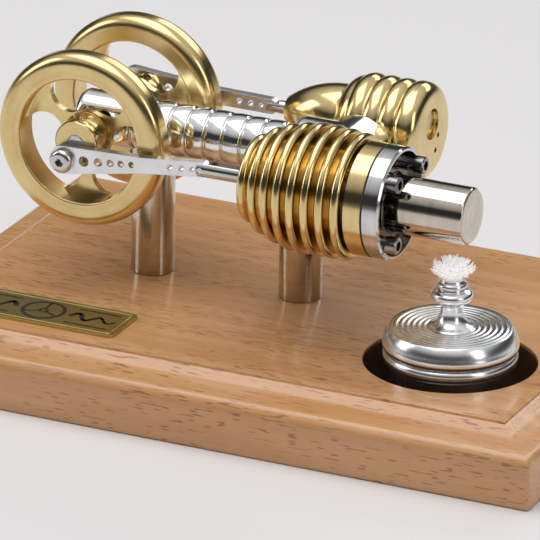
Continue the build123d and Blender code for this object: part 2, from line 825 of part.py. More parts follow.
with BuildPart() as displacer_cylinder:
    with BuildSketch(front):
        with BuildLine():
            Polyline(
                (nose_left, guide_bush_radius), (nose_left, body_left_radius - 1.6),
                (nose_left + 0.5, body_left_radius - 1.0),
                (core_step_x, dome_height(core_step_x) - 2.0),
                (fin_first_x + fin_pitch, fin_root_radius), (collar_left, fin_root_radius),
                (collar_left, collar_radius - 0.5), (collar_left + 0.5, collar_radius),
                (collar_right, collar_radius), (collar_right, displacer_bore),
                (displacer_left - 3.0, displacer_bore), (displacer_left - 3.0, guide_bush_radius),
                close=True,
            )
        make_face()
    revolve(axis=cylinder_axis(-1))
    for fin in range(fin_count):
        fin_x = fin_first_x + fin * fin_pitch
        tip = dome_height(fin_x)
        foot = displacer_bore + 1.5
        with BuildSketch(front):
            with Locations((fin_x, (tip - fin_thickness / 2 + foot) / 2)):
                Rectangle(fin_thickness, tip - fin_thickness / 2 - foot)
            with Locations((fin_x, tip - fin_thickness / 2)):
                Circle(fin_thickness / 2)
        revolve(axis=cylinder_axis(-1))
    with BuildSketch(drum_plane.offset(drum_front)):
        Circle(nipple_radius + 2.2)
    extrude(amount=-front_boss_depth - 0.5)
    with BuildSketch(drum_plane.offset(drum_front)):
        Circle(nipple_radius)
    extrude(amount=-front_boss_depth, mode=Mode.SUBTRACT)
    with BuildSketch(drum_plane.offset(drum_front)):
        Circle(passage_radius - 0.3)
    extrude(amount=-cylinder_offset / 2 - 2, mode=Mode.SUBTRACT)
    extrude(flange_circles(collar_right, flange_thread_radius), amount=-6.5, mode=Mode.SUBTRACT)
finish_piece(displacer_cylinder, "displacer_cylinder")

rod_guide = turned(
    front, cylinder_axis(-1),
    [
        (nose_left - 0.4, displacer_rod_radius + running_fit),
        (nose_left - 0.4, guide_bush_radius - 0.4),
        (nose_left, guide_bush_radius - 0.02),
        (displacer_left - 3.0, guide_bush_radius - 0.02),
        (displacer_left - 3.0, displacer_rod_radius + running_fit),
    ],
)
finish_piece(rod_guide, "displacer_rod_guide")


# ================================================================ hot end
ring_left = collar_right + gasket_thickness
cap_left = ring_left + flange_floor
cap_face = cap_left + cap_flange_thickness
head_left = cap_face + flange_sleeve_length

with BuildPart() as cylinder_gasket:
    with BuildSketch(Plane.YZ.offset(collar_right)):
        with Locations((engine_y - cylinder_offset, shaft_z)):
            Circle(collar_radius - 0.1)
            Circle(displacer_bore + 0.6, mode=Mode.SUBTRACT)
    extrude(amount=gasket_thickness)
    extrude(
        flange_circles(collar_right, flange_thread_radius + 0.1),
        amount=gasket_thickness, mode=Mode.SUBTRACT,
    )
finish_piece(cylinder_gasket, "cylinder_gasket")

with BuildPart() as flange_ring:
    with BuildSketch(front):
        with BuildLine():
            Polyline(
                (ring_left, hot_cap_radius), (ring_left, flange_ring_radius - 0.3),
                (ring_left + 0.3, flange_ring_radius),
                (ring_left + flange_ring_length - 0.5, flange_ring_radius),
                (ring_left + flange_ring_length, flange_ring_radius - 0.5),
                (ring_left + flange_ring_length, flange_recess_radius), (cap_left, flange_recess_radius),
                (cap_left, hot_cap_radius), close=True,
            )
        make_face()
    revolve(axis=cylinder_axis(-1))
    extrude(
        flange_circles(ring_left, flange_thread_radius + 0.1),
        amount=flange_floor, mode=Mode.SUBTRACT,
    )
finish_piece(flange_ring, "flange_ring")

with BuildPart() as hot_cap:
    with BuildSketch(front):
        with BuildLine():
            Polyline(
                (cap_left, hot_cap_radius - hot_cap_wall), (cap_left, cap_flange_radius),
                (cap_face, cap_flange_radius), (cap_face, hot_cap_radius + 0.8),
                (cap_face + 0.8, hot_cap_radius), (hot_cap_end - 0.8, hot_cap_radius),
                (hot_cap_end, hot_cap_radius - 0.8), (hot_cap_end, 0), (hot_cap_end - 1.0, 0),
                (hot_cap_end - 1.0, hot_cap_radius - hot_cap_wall), close=True,
            )
        make_face()
    revolve(axis=cylinder_axis(-1))
    extrude(
        flange_circles(cap_left, flange_thread_radius + 0.1),
        amount=cap_flange_thickness, mode=Mode.SUBTRACT,
    )
finish_piece(hot_cap, "hot_cap")

with BuildPart() as flange_sleeves:
    extrude(flange_circles(cap_face, flange_head_radius - 0.25), amount=flange_sleeve_length)
    extrude(
        flange_circles(cap_face, flange_thread_radius + 0.05),
        amount=flange_sleeve_length, mode=Mode.SUBTRACT,
    )
finish_piece(flange_sleeves, "flange_sleeves")

with BuildPart() as flange_screws:
    extrude(
        flange_circles(collar_right - 6.0, flange_thread_radius - 0.02),
        amount=head_left - collar_right + 6.5,
    )
    extrude(flange_circles(head_left, flange_head_radius), amount=flange_head_length)
    chamfer(flange_screws.faces().group_by(Axis.X)[-1].edges(), 0.3)
    with BuildSketch(Plane.YZ.offset(head_left + flange_head_length)):
        with Locations((engine_y - cylinder_offset, shaft_z)):
            with PolarLocations(flange_screw_circle, flange_screw_count, flange_screw_phase):
                RegularPolygon(radius=1.45, side_count=6)
    extrude(amount=-2.0, mode=Mode.SUBTRACT)
finish_piece(flange_screws, "flange_screws")

# ================================================================ power cylinder
head_joint_x = power_rib_left + power_rib_count * power_rib_pitch
rib_valley = power_rib_radius - power_rib_depth

with BuildPart() as power_cylinder:
    with BuildSketch(rear):
        with BuildLine():
            Line((power_left, power_mouth_radius), (power_left, power_mouth_radius + 0.4))
            ThreePointArc(
                (power_left, power_mouth_radius + 0.4), (power_left + 6.9, 7.8),
                (power_neck_x, power_neck_radius),
            )
            ThreePointArc(
                (power_neck_x, power_neck_radius), (power_neck_x + 1.5, power_neck_radius + 2.3),
                (power_rib_left, rib_valley),
            )
            for rib in range(power_rib_count):
                rib_left = power_rib_left + rib * power_rib_pitch
                ThreePointArc(
                    (rib_left, rib_valley), (rib_left + power_rib_pitch / 2, power_rib_radius),
                    (rib_left + power_rib_pitch, rib_valley),
                )
            Polyline(
                (head_joint_x, rib_valley), (head_joint_x, power_bore), (power_bore_left, power_bore),
                (power_bore_left, power_mouth_radius), (power_left, power_mouth_radius),
            )
        make_face()
    revolve(axis=cylinder_axis(1))
    with BuildSketch(drum_plane.offset(drum_rear)):
        Circle(nipple_radius + 2.2)
    extrude(amount=rear_boss_depth + 0.5)
    with BuildSketch(drum_plane.offset(drum_rear)):
        Circle(nipple_radius)
    extrude(amount=rear_boss_depth, mode=Mode.SUBTRACT)
    with BuildSketch(Plane.XZ.offset(-drum_rear)):
        with Locations((drum_x, shaft_z)):
            Circle(passage_radius - 0.3)
    extrude(amount=-cylinder_offset / 2, mode=Mode.SUBTRACT)
finish_piece(power_cylinder, "power_cylinder")

plug_radius = 4.4
plug_left = power_head_right - 2.6
plug_place = (engine_y + cylinder_offset - 0.5, axis_z(1) + 2.9)
face_hole_places = [
    (engine_y + cylinder_offset + dy, axis_z(1) + dz) for dy, dz in ((3.9, -1.6), (2.3, -5.6))
]

with BuildPart() as power_head:
    with BuildSketch(rear):
        with BuildLine():
            Line((head_joint_x, 0), (head_joint_x, rib_valley))
            ThreePointArc(
                (head_joint_x, rib_valley), (head_joint_x + 1.0, power_rib_radius - 0.2),
                (power_head_right - head_round, power_rib_radius),
            )
            TangentArc(
                (power_head_right - head_round, power_rib_radius),
                (power_head_right, power_rib_radius - head_round), tangent=(1, 0),
            )
            Polyline(
                (power_head_right, power_rib_radius - head_round), (power_head_right, 0),
                (head_joint_x, 0),
            )
        make_face()
    revolve(axis=cylinder_axis(1))
    with BuildSketch(Plane.YZ.offset(power_head_right)):
        with Locations(plug_place):
            Circle(plug_radius)
    extrude(amount=plug_left - power_head_right, mode=Mode.SUBTRACT)
    with BuildSketch(Plane.YZ.offset(power_head_right)):
        with Locations(*face_hole_places):
            Circle(0.8)
    extrude(amount=-1.6, mode=Mode.SUBTRACT)
    with BuildSketch(Plane.YZ.offset(head_joint_x)):
        with Locations((engine_y + cylinder_offset, axis_z(1))):
            Circle(power_bore)
    extrude(amount=power_bore_right - head_joint_x, mode=Mode.SUBTRACT)
finish_piece(power_head, "power_head")

with BuildPart() as power_head_plug:
    with BuildSketch(Plane.YZ.offset(plug_left)):
        with Locations(plug_place):
            Circle(plug_radius - 0.02)
    extrude(amount=1.5)
    fillet(power_head_plug.faces().sort_by(Axis.X)[-1].edges(), 0.9)
finish_piece(power_head_plug, "power_head_plug")

# ================================================================ burner
burner_plane = Plane(
    origin=(burner_x, engine_y - cylinder_offset, 0), x_dir=(1, 0, 0), z_dir=(0, -1, 0)
)
burner_axis = Axis((burner_x, engine_y - cylinder_offset, 0), (0, 0, 1))
tank_wall = 1.4
lid_seat_radius = 16.9

with BuildPart() as burner_tank:
    with BuildSketch(burner_plane):
        with BuildLine():
            Polyline(
                (0, recess_floor), (tank_radius - 1.0, recess_floor), (tank_radius, recess_floor + 1.0),
                (tank_radius, tank_ring_bottom), (tank_ring_radius - 0.7, tank_ring_bottom),
            )
            ThreePointArc(
                (tank_ring_radius - 0.7, tank_ring_bottom),
                (tank_ring_radius - 0.12, (tank_ring_bottom + tank_top) / 2 - 1.0),
                (tank_ring_radius, (tank_ring_bottom + tank_top) / 2),
            )
            ThreePointArc(
                (tank_ring_radius, (tank_ring_bottom + tank_top) / 2),
                (tank_ring_radius - 0.12, (tank_ring_bottom + tank_top) / 2 + 1.0),
                (tank_ring_radius - 0.7, tank_top),
            )
            Polyline(
                (tank_ring_radius - 0.7, tank_top), (tank_radius - tank_wall, tank_top),
                (tank_radius - tank_wall, recess_floor + 1.5), (0, recess_floor + 1.5),
                (0, recess_floor),
            )
        make_face()
    revolve(axis=burner_axis)
finish_piece(burner_tank, "burner_tank")

skirt_radius = tank_radius - tank_wall - 0.08
ring_outer = 15.9
ring_inner = 6.6
ring_count = 6
ring_depth = 0.22
ring_pitch = (ring_outer - ring_inner) / ring_count
neck_waist = 3.1
neck_bulb = 5.8
crown_radius = 4.2
neck_collar = 3.3

with BuildPart() as burner_lid:
    with BuildSketch(burner_plane):
        with BuildLine():
            Polyline(
                (wick_radius + 0.05, tank_top - 3.0), (skirt_radius, tank_top - 3.0),
                (skirt_radius, tank_top), (lid_seat_radius, tank_top),
                (lid_seat_radius, tank_top + 0.5), (lid_radius - 0.5, tank_top + 0.5),
            )
            ThreePointArc(
                (lid_radius - 0.5, tank_top + 0.5), (lid_radius, tank_top + 1.8),
                (lid_radius - 0.25, tank_top + 3.2),
            )
            ThreePointArc(
                (lid_radius - 0.25, tank_top + 3.2), (lid_radius - 0.95, tank_top + 5.2),
                (lid_flat_radius, lid_top - 0.1),
            )
            Line((lid_flat_radius, lid_top - 0.1), (ring_outer, lid_top - ring_depth))
            for ring in reversed(range(ring_count)):
                inner = ring_inner + ring * ring_pitch
                ThreePointArc(
                    (inner + ring_pitch, lid_top - ring_depth), (inner + ring_pitch / 2, lid_top),
                    (inner, lid_top - ring_depth),
                )
            Line((ring_inner, lid_top - ring_depth), (ring_inner - 0.2, lid_top + 0.25))
            ThreePointArc(
                (ring_inner - 0.2, lid_top + 0.25), (3.95, lid_top + 2.0), (neck_waist, lid_top + 5.4)
            )
            ThreePointArc(
                (neck_waist, lid_top + 5.4), (neck_waist + 0.35, lid_top + 6.7),
                (neck_waist + 1.4, lid_top + 7.5),
            )
            ThreePointArc(
                (neck_waist + 1.4, lid_top + 7.5), (neck_bulb, lid_top + 9.1),
                (neck_waist + 1.2, lid_top + 10.6),
            )
            Line((neck_waist + 1.2, lid_top + 10.6), (crown_radius - 0.4, lid_top + 11.0))
            ThreePointArc(
                (crown_radius - 0.4, lid_top + 11.0), (crown_radius, lid_top + 12.0),
                (crown_radius - 0.5, lid_top + 12.9),
            )
            Line((crown_radius - 0.5, lid_top + 12.9), (neck_collar, neck_top))
            Polyline(
                (neck_collar, neck_top), (wick_radius + 0.05, neck_top),
                (wick_radius + 0.05, tank_top - 3.0),
            )
        make_face()
    revolve(axis=burner_axis)
finish_piece(burner_lid, "burner_lid")

tuft_radius = 6.6
with BuildPart() as wick:
    with BuildSketch(burner_plane):
        with BuildLine():
            Polyline((0, recess_floor + 2.5), (wick_radius, recess_floor + 2.5), (wick_radius, neck_top))
            ThreePointArc(
                (wick_radius, neck_top), (wick_radius + 1.6, neck_top + 2.2),
                (tuft_radius, wick_top - 4.0),
            )
            Bezier(
                (tuft_radius, wick_top - 4.0), (tuft_radius, wick_top - 1.5),
                (tuft_radius / 2, wick_top), (0, wick_top),
            )
            Line((0, wick_top), (0, recess_floor + 2.5))
        make_face()
    revolve(axis=burner_axis)
finish_piece(wick, "wick")
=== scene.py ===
"""The looks of a desk hot-air engine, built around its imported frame.

Every piece is in metres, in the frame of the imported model: +X runs along the cylinders
towards the heated end, +Z is up, and the origin is the centre of the board's underside.
Each sub-assembly is a class that makes its pieces and dresses them; each finish is a
frozen dataclass that makes one procedural material.
"""

import logging
import math
import random
from dataclasses import dataclass, field
from enum import Enum
from typing import Sequence, Union

import bmesh
import bpy
from mathutils import Matrix, Vector


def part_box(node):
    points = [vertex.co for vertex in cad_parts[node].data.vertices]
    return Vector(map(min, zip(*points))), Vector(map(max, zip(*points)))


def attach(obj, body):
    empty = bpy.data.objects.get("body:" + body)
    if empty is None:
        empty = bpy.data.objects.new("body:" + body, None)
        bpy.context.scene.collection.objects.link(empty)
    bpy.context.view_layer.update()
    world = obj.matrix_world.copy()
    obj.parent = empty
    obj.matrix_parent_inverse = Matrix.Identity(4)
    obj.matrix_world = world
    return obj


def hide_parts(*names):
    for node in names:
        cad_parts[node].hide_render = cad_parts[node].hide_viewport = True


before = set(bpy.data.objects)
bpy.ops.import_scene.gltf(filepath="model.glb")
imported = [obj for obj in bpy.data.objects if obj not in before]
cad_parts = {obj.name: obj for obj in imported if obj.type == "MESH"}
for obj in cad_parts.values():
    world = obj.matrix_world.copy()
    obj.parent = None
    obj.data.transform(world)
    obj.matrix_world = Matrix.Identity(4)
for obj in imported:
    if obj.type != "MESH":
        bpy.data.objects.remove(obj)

LOG = logging.getLogger("hot_air_engine")
MM = 0.001
JOIN_DISTANCE = 0.002 * MM
FLAT_WITHIN = math.radians(0.2)
Colour = tuple[float, float, float]
Outline = list[tuple[float, float]]


# ------------------------------------------------------------------ shader arithmetic
class Value:
    """A shader number that takes ordinary arithmetic, adding Math nodes as it goes."""

    def __init__(self, graph: "Graph", socket: bpy.types.NodeSocket) -> None:
        """Wraps one output socket of a graph."""
        self.graph = graph
        self.socket = socket

    def _math(self, operation: str, first: "Number", second: "Number" = 0.0) -> "Value":
        """Adds one Math node.

        Args:
            operation: The Math node's operation.
            first: Its first number.
            second: Its second number.

        Returns:
            The node's result.
        """
        return self.graph.node("ShaderNodeMath", {"operation": operation}, {0: first, 1: second})

    def __add__(self, other: "Number") -> "Value":
        """This value plus another."""
        return self._math("ADD", self, other)

    __radd__ = __add__

    def __sub__(self, other: "Number") -> "Value":
        """This value minus another."""
        return self._math("SUBTRACT", self, other)

    def __rsub__(self, other: "Number") -> "Value":
        """Another value minus this one."""
        return self._math("SUBTRACT", other, self)

    def __mul__(self, other: "Number") -> "Value":
        """This value times another."""
        return self._math("MULTIPLY", self, other)

    __rmul__ = __mul__

    def __pow__(self, power: float) -> "Value":
        """This value to a power."""
        return self._math("POWER", self, power)

    def clamp(self) -> "Value":
        """This value held between 0 and 1."""
        return self.graph.node("ShaderNodeClamp", {}, {"Value": self})

    def band(self, low: float, high: float) -> "Value":
        """How far this value has come from low to high, eased, from 0 to 1.

        Args:
            low: Where the result leaves 0.
            high: Where the result reaches 1.

        Returns:
            The eased share.
        """
        return self.graph.node(
            "ShaderNodeMapRange", {"interpolation_type": "SMOOTHSTEP"},
            {"Value": self, "From Min": low, "From Max": high},
        )


Number = Union[Value, float]


class Graph:
    """One material's node tree, with a Principled surface ready to be fed."""

    def __init__(self, name: str) -> None:
        """Makes an empty node material.

        Args:
            name: The material's name.
        """
        self.material = bpy.data.materials.new(name)
        self.material.use_nodes = True
        self.tree = self.material.node_tree
        self.tree.nodes.clear()
        self.surface = self.tree.nodes.new("ShaderNodeBsdfPrincipled")
        out = self.tree.nodes.new("ShaderNodeOutputMaterial")
        self.tree.links.new(self.surface.outputs[0], out.inputs["Surface"])

    def node(self, kind: str, settings: dict, inputs: dict, output: int | str = 0) -> Value:
        """Adds any node.

        Args:
            kind: The node's type.
            settings: Attributes to set before its inputs.
            inputs: Values or links for its sockets, by name or place.
            output: Which of its outputs is wanted.

        Returns:
            The wanted output.
        """
        made = self.tree.nodes.new(kind)
        for key, value in settings.items():
            setattr(made, key, value)
        for key, value in inputs.items():
            self._feed(made.inputs[key], value)
        return Value(self, made.outputs[output])

    def _feed(self, socket: bpy.types.NodeSocket, value: object) -> None:
        """Links a Value to a socket, or sets a plain number, colour or vector on it."""
        if isinstance(value, Value):
            self.tree.links.new(value.socket, socket)
        elif socket.type == "RGBA":
            socket.default_value = (*value, 1.0)
        else:
            socket.default_value = value

    def feed(self, **inputs: object) -> None:
        """Feeds sockets of the Principled surface, with underscores for spaces."""
        for key, value in inputs.items():
            self._feed(self.surface.inputs[key.replace("_", " ")], value)

    def place(self) -> Value:
        """Where each point is on the object, in metres."""
        return self.node("ShaderNodeTexCoord", {}, {}, "Object")

    def mapped(self, centre: Sequence[float], scale: Sequence[float]) -> Value:
        """Object coordinates measured from a centre and stretched.

        Args:
            centre: The point that becomes zero.
            scale: Stretch along each axis, in pattern units per metre.

        Returns:
            The mapped vector.
        """
        start = [-c * s for c, s in zip(centre, scale)]
        return self.node(
            "ShaderNodeMapping", {}, {"Vector": self.place(), "Location": start, "Scale": list(scale)}
        )

    def axes(self, vector: Value) -> tuple[Value, Value, Value]:
        """A vector's three components."""
        split = self.node("ShaderNodeSeparateXYZ", {}, {"Vector": vector}).socket.node
        return tuple(Value(self, split.outputs[i]) for i in range(3))

    def vector(self, x: Number, y: Number, z: Number) -> Value:
        """A vector from three numbers."""
        return self.node("ShaderNodeCombineXYZ", {}, {"X": x, "Y": y, "Z": z})

    def noise(
        self, vector: Value, scale: float = 1.0, detail: float = 3.0, rough: float = 0.55
    ) -> Value:
        """Soft noise from 0 to 1.

        Args:
            vector: Where it is read.
            scale: Its fineness.
            detail: How many finer layers it has.
            rough: How strong the finer layers are.

        Returns:
            The noise value.
        """
        return self.node(
            "ShaderNodeTexNoise", {},
            {"Vector": vector, "Scale": scale, "Detail": detail, "Roughness": rough},
        )

    def mix(self, share: Number, first: object, second: object) -> Value:
        """A colour between two colours.

        Args:
            share: 0 for the first and 1 for the second.
            first: A colour or a Value.
            second: A colour or a Value.

        Returns:
            The mixed colour.
        """
        return self.node("ShaderNodeMix", {"data_type": "RGBA"}, {0: share, 6: first, 7: second}, 2)

    def bump(self, height: Number, distance: float, strength: float) -> None:
        """Raises the surface's normal by a height.

        Args:
            height: From 0 to 1.
            distance: What 1 stands for, in metres.
            strength: How much of it shows.
        """
        normal = self.node(
            "ShaderNodeBump", {}, {"Height": height, "Distance": distance, "Strength": strength}, "Normal"
        )
        self.feed(Normal=normal)


# ------------------------------------------------------------------ finishes
class Axis(Enum):
    """The row axis that a part was turned about."""

    X = (1, 2, 0)
    Y = (0, 2, 1)
    Z = (0, 1, 2)


@dataclass(frozen=True)
class Finish:
    """A named finish; its material is made once and shared."""

    name: str

    def material(self) -> bpy.types.Material:
        """The finish's material, made on first use."""
        found = bpy.data.materials.get(self.name)
        return found if found else self.make(Graph(self.name))

    def make(self, graph: Graph) -> bpy.types.Material:
        """Builds the node tree.

        Args:
            graph: An empty graph for this finish.

        Returns:
            The finished material.
        """
        raise NotImplementedError


@dataclass(frozen=True)
class TurnedMetal(Finish):
    """Lathe-turned metal: rings of fine tool marks about an axis, with faint handling haze."""

    colour: Colour
    shade: Colour
    axis: Axis
    centre: tuple[float, float, float]
    roughness: float = 0.15
    marks: float = 0.35
    haze: float = 0.08
    soot: Colour = (0.05, 0.045, 0.04)
    soot_fade: float = 1.2 * MM
    soot_end: float | None = None

    def make(self, graph: Graph) -> bpy.types.Material:
        """Builds the rings, the haze, the colour drift and any soot short of soot_end along +X."""
        local = graph.mapped(self.centre, (1.0, 1.0, 1.0))
        parts = graph.axes(local)
        across, up, along = (parts[i] for i in self.axis.value)
        radius = (across * across + up * up) ** 0.5
        rings = graph.noise(graph.vector(radius * 2600.0, along * 2600.0, 0.0), detail=2.0)
        coarse = graph.noise(graph.vector(radius * 700.0, along * 700.0, 3.0), detail=1.0)
        haze = graph.noise(graph.place(), scale=110.0, detail=4.0)
        specks = graph.noise(graph.place(), scale=1500.0, detail=1.0).band(0.68, 0.8)
        tone = (haze.band(0.35, 0.75) * 0.55 + coarse.band(0.4, 0.7) * 0.25 + specks * 0.2).clamp()
        surface = graph.mix(tone, self.colour, self.shade)
        if self.soot_end is not None:
            ahead = graph.axes(graph.place())[0]
            clean = (ahead + haze * 0.6 * MM).band(self.soot_end, self.soot_end + self.soot_fade)
            surface = graph.mix(((1.0 - clean) * 0.9).clamp(), surface, self.soot)
        graph.feed(
            Base_Color=surface,
            Metallic=1.0,
            Roughness=(haze * self.haze + rings * 0.06 + specks * 0.05 + (self.roughness - 0.06)).clamp(),
        )
        graph.bump(rings * 0.7 + coarse * 0.3, 0.012 * MM, self.marks)
        return graph.material


@dataclass(frozen=True)
class BrushedMetal(Finish):
    """Flat metal brushed along +X, such as a rod cut from strip."""

    colour: Colour
    shade: Colour
    roughness: float = 0.28

    def make(self, graph: Graph) -> bpy.types.Material:
        """Builds the brushed lines and their haze."""
        lines = graph.noise(graph.mapped((0, 0, 0), (220.0, 5200.0, 5200.0)), detail=3.0, rough=0.7)
        haze = graph.noise(graph.place(), scale=160.0, detail=3.0)
        graph.feed(
            Base_Color=graph.mix((lines * 0.5 + haze * 0.5).band(0.3, 0.75), self.colour, self.shade),
            Metallic=1.0,
            Roughness=(lines * 0.12 + haze * 0.08 + (self.roughness - 0.1)).clamp(),
        )
        graph.bump(lines, 0.01 * MM, 0.4)
        return graph.material


@dataclass(frozen=True)
class VarnishedBeech(Finish):
    """Steamed beech, grain along +X, with short dark ray flecks under a clear varnish, and painted shade
    inside the burner's recess.
    """

    light: Colour = (0.70, 0.39, 0.18)
    deep: Colour = (0.55, 0.28, 0.115)
    warm: Colour = (0.61, 0.27, 0.085)
    fleck: Colour = (0.30, 0.12, 0.045)
    # Near-black painted shade, laid inside the burner's recess.
    recess_painted_shade: Colour = (0.03, 0.014, 0.007)
    roughness: float = 0.32
    pocket: tuple[float, float, float, float] = (0.0, 0.0, 0.0, 0.0)

    def make(self, graph: Graph) -> bpy.types.Material:
        """Builds the growth rings, fibres, flecks and pores, and the painted shade in the burner's
        recess.
        """
        drift = graph.noise(graph.mapped((0, 0, 0), (6.0, 30.0, 30.0)), detail=2.0)
        x, y, z = graph.axes(graph.place())
        wander = drift * 0.012
        ring = graph.noise(
            graph.vector(x * 9.0, (y + wander) * 210.0, (z * 0.6 + wander) * 210.0), detail=2.0, rough=0.5
        )
        fibre = graph.noise(graph.mapped((0, 0, 0), (60.0, 2400.0, 2400.0)), detail=3.0, rough=0.65)
        dash = graph.noise(graph.mapped((0, 0, 0), (240.0, 1700.0, 1700.0)), detail=0.0)
        patch = graph.noise(graph.mapped((0.01, 0, 0), (25.0, 70.0, 70.0)), detail=1.0)
        fleck = dash.band(0.62, 0.72) * patch.band(0.3, 0.55)
        blush = graph.noise(graph.mapped((0.02, 0, 0), (14.0, 95.0, 95.0)), detail=3.0).band(0.4, 0.68)
        tone = (ring.band(0.36, 0.66) * 0.55 + fibre.band(0.3, 0.7) * 0.3 + patch * 0.15).clamp()
        wood = graph.mix(blush * 0.35, graph.mix(tone, self.light, self.deep), self.warm)
        flecked = graph.mix((fleck * 0.8).clamp(), wood, self.fleck)
        # Painted shade: inside the burner's recess and below the board's top, the wood is mixed almost
        # wholly to near-black.
        centre_x, centre_y, top, radius = self.pocket
        out = ((x - centre_x) * (x - centre_x) + (y - centre_y) * (y - centre_y)) ** 0.5
        inside = 1.0 - out.band(radius + 0.01 * MM, radius + 0.25 * MM)
        below = 1.0 - z.band(top - 1.6 * MM, top - 0.2 * MM)
        graph.feed(
            Base_Color=graph.mix((inside * below * 0.93).clamp(), flecked, self.recess_painted_shade),
            Roughness=(fibre * 0.1 + fleck * 0.1 + (self.roughness - 0.05)).clamp(),
            Coat_Weight=(0.55 - fleck * 0.2).clamp(),
            Coat_Roughness=0.16,
            IOR=1.5,
        )
        graph.bump(fibre * 0.6 - fleck * 0.8 + ring * 0.2, 0.03 * MM, 0.35)
        return graph.material


@dataclass(frozen=True)
class LooseCotton(Finish):
    """Frayed white cotton, with a faint white emission as painted light that brightens the wick beneath
    the hot cap.
    """

    colour: Colour = (0.98, 0.978, 0.975)
    shade: Colour = (0.93, 0.925, 0.915)
    painted_glow: float = 0.22

    def make(self, graph: Graph) -> bpy.types.Material:
        """Builds the soft tone changes of loose fibre."""
        lint = graph.noise(graph.place(), scale=1400.0, detail=4.0)
        tuft = graph.noise(graph.place(), scale=420.0, detail=2.0)
        graph.feed(
            Base_Color=graph.mix((lint * 0.5 + tuft * 0.5).band(0.42, 0.72), self.colour, self.shade),
            Roughness=(lint * 0.1 + 0.85).clamp(),
            Sheen_Weight=0.5,
            # Painted light: a constant white emission brightens the wick where the hot cap shades it.
            Emission_Color=(1.0, 0.99, 0.97),
            Emission_Strength=self.painted_glow,
        )
        graph.bump(lint, 0.06 * MM, 0.3)
        return graph.material


@dataclass(frozen=True)
class DarkEnamel(Finish):
    """Black enamel laid into an engraved line."""

    colour: Colour = (0.016, 0.013, 0.011)
    shade: Colour = (0.05, 0.04, 0.03)

    def make(self, graph: Graph) -> bpy.types.Material:
        """Builds the slightly uneven enamel."""
        pool = graph.noise(graph.place(), scale=900.0, detail=3.0)
        graph.feed(
            Base_Color=graph.mix(pool.band(0.4, 0.8), self.colour, self.shade),
            Roughness=(pool * 0.25 + 0.3).clamp(),
        )
        graph.bump(pool, 0.02 * MM, 0.4)
        return graph.material


@dataclass(frozen=True)
class SheetGasket(Finish):
    """Dark pressed-fibre gasket sheet."""

    colour: Colour = (0.03, 0.028, 0.026)
    shade: Colour = (0.075, 0.068, 0.06)

    def make(self, graph: Graph) -> bpy.types.Material:
        """Builds the pressed fibre."""
        fibre = graph.noise(graph.place(), scale=2200.0, detail=4.0)
        graph.feed(
            Base_Color=graph.mix(fibre.band(0.4, 0.7), self.colour, self.shade),
            Roughness=(fibre * 0.2 + 0.65).clamp(),
        )
        graph.bump(fibre, 0.04 * MM, 0.6)
        return graph.material


BRASS: Colour = (0.80, 0.63, 0.31)
BRASS_SHADE: Colour = (0.62, 0.44, 0.18)
ALUMINIUM: Colour = (0.90, 0.91, 0.92)
ALUMINIUM_SHADE: Colour = (0.74, 0.75, 0.77)
STEEL: Colour = (0.66, 0.65, 0.64)
STEEL_SHADE: Colour = (0.48, 0.46, 0.44)
# Nickel, made warmer and darker than its own tone as a painted reflection of the wood and brass around
# the posts.
NICKEL: Colour = (0.61, 0.55, 0.45)
NICKEL_SHADE: Colour = (0.45, 0.39, 0.30)
BRONZE: Colour = (0.60, 0.36, 0.18)
BRONZE_SHADE: Colour = (0.42, 0.24, 0.12)


# ------------------------------------------------------------------ mesh making
def middle(node: str) -> Vector:
    """The centre of a CAD node's box."""
    low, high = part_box(node)
    return (low + high) / 2


def as_piece(name: str, bm: bmesh.types.BMesh, finish: Finish, sharp: float = 35.0) -> bpy.types.Object:
    """Turns a bmesh into a smooth-shaded object that wears one finish.

    Args:
        name: The piece's name.
        bm: The shape, which is freed.
        finish: What it wears.
        sharp: Edges that turn by more than this many degrees stay crisp.

    Returns:
        The new object, linked to the scene.
    """
    mesh = bpy.data.meshes.new(name)
    bm.to_mesh(mesh)
    bm.free()
    mesh.shade_smooth()
    mesh.set_sharp_from_angle(angle=math.radians(sharp))
    piece = bpy.data.objects.new(name, mesh)
    bpy.context.scene.collection.objects.link(piece)
    piece.data.materials.append(finish.material())
    return piece


def merged_copy(node: str) -> bmesh.types.BMesh:
    """A CAD node's shape: loose triangles joined, pinholes closed, flat faces made whole.

    Args:
        node: The CAD node.

    Returns:
        The joined shape.
    """
    bm = bmesh.new()
    bm.from_mesh(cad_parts[node].data)
    bmesh.ops.remove_doubles(bm, verts=bm.verts, dist=JOIN_DISTANCE)
    bmesh.ops.holes_fill(bm, edges=[e for e in bm.edges if e.is_boundary], sides=4)
    bmesh.ops.dissolve_limit(
        bm, angle_limit=FLAT_WITHIN, verts=bm.verts, edges=bm.edges, delimit={"NORMAL"}
    )
    bmesh.ops.recalc_face_normals(bm, faces=bm.faces)
    return bm


def soften(bm: bmesh.types.BMesh, width: float, over: float = 50.0, segments: int = 2) -> None:
    """Takes the crispness off every hard edge, as handling and deburring do.

    Args:
        bm: The shape.
        width: The rounding, in metres.
        over: Only edges that turn by more than this many degrees are rounded.
        segments: How many faces each rounding has.
    """
    hard = [
        e for e in bm.edges
        if len(e.link_faces) == 2 and e.calc_face_angle(0.0) > math.radians(over)
    ]
    bmesh.ops.bevel(
        bm, geom=hard, offset=width, offset_type="OFFSET", segments=segments, profile=0.5,
        affect="EDGES", material=-1, clamp_overlap=True,
    )


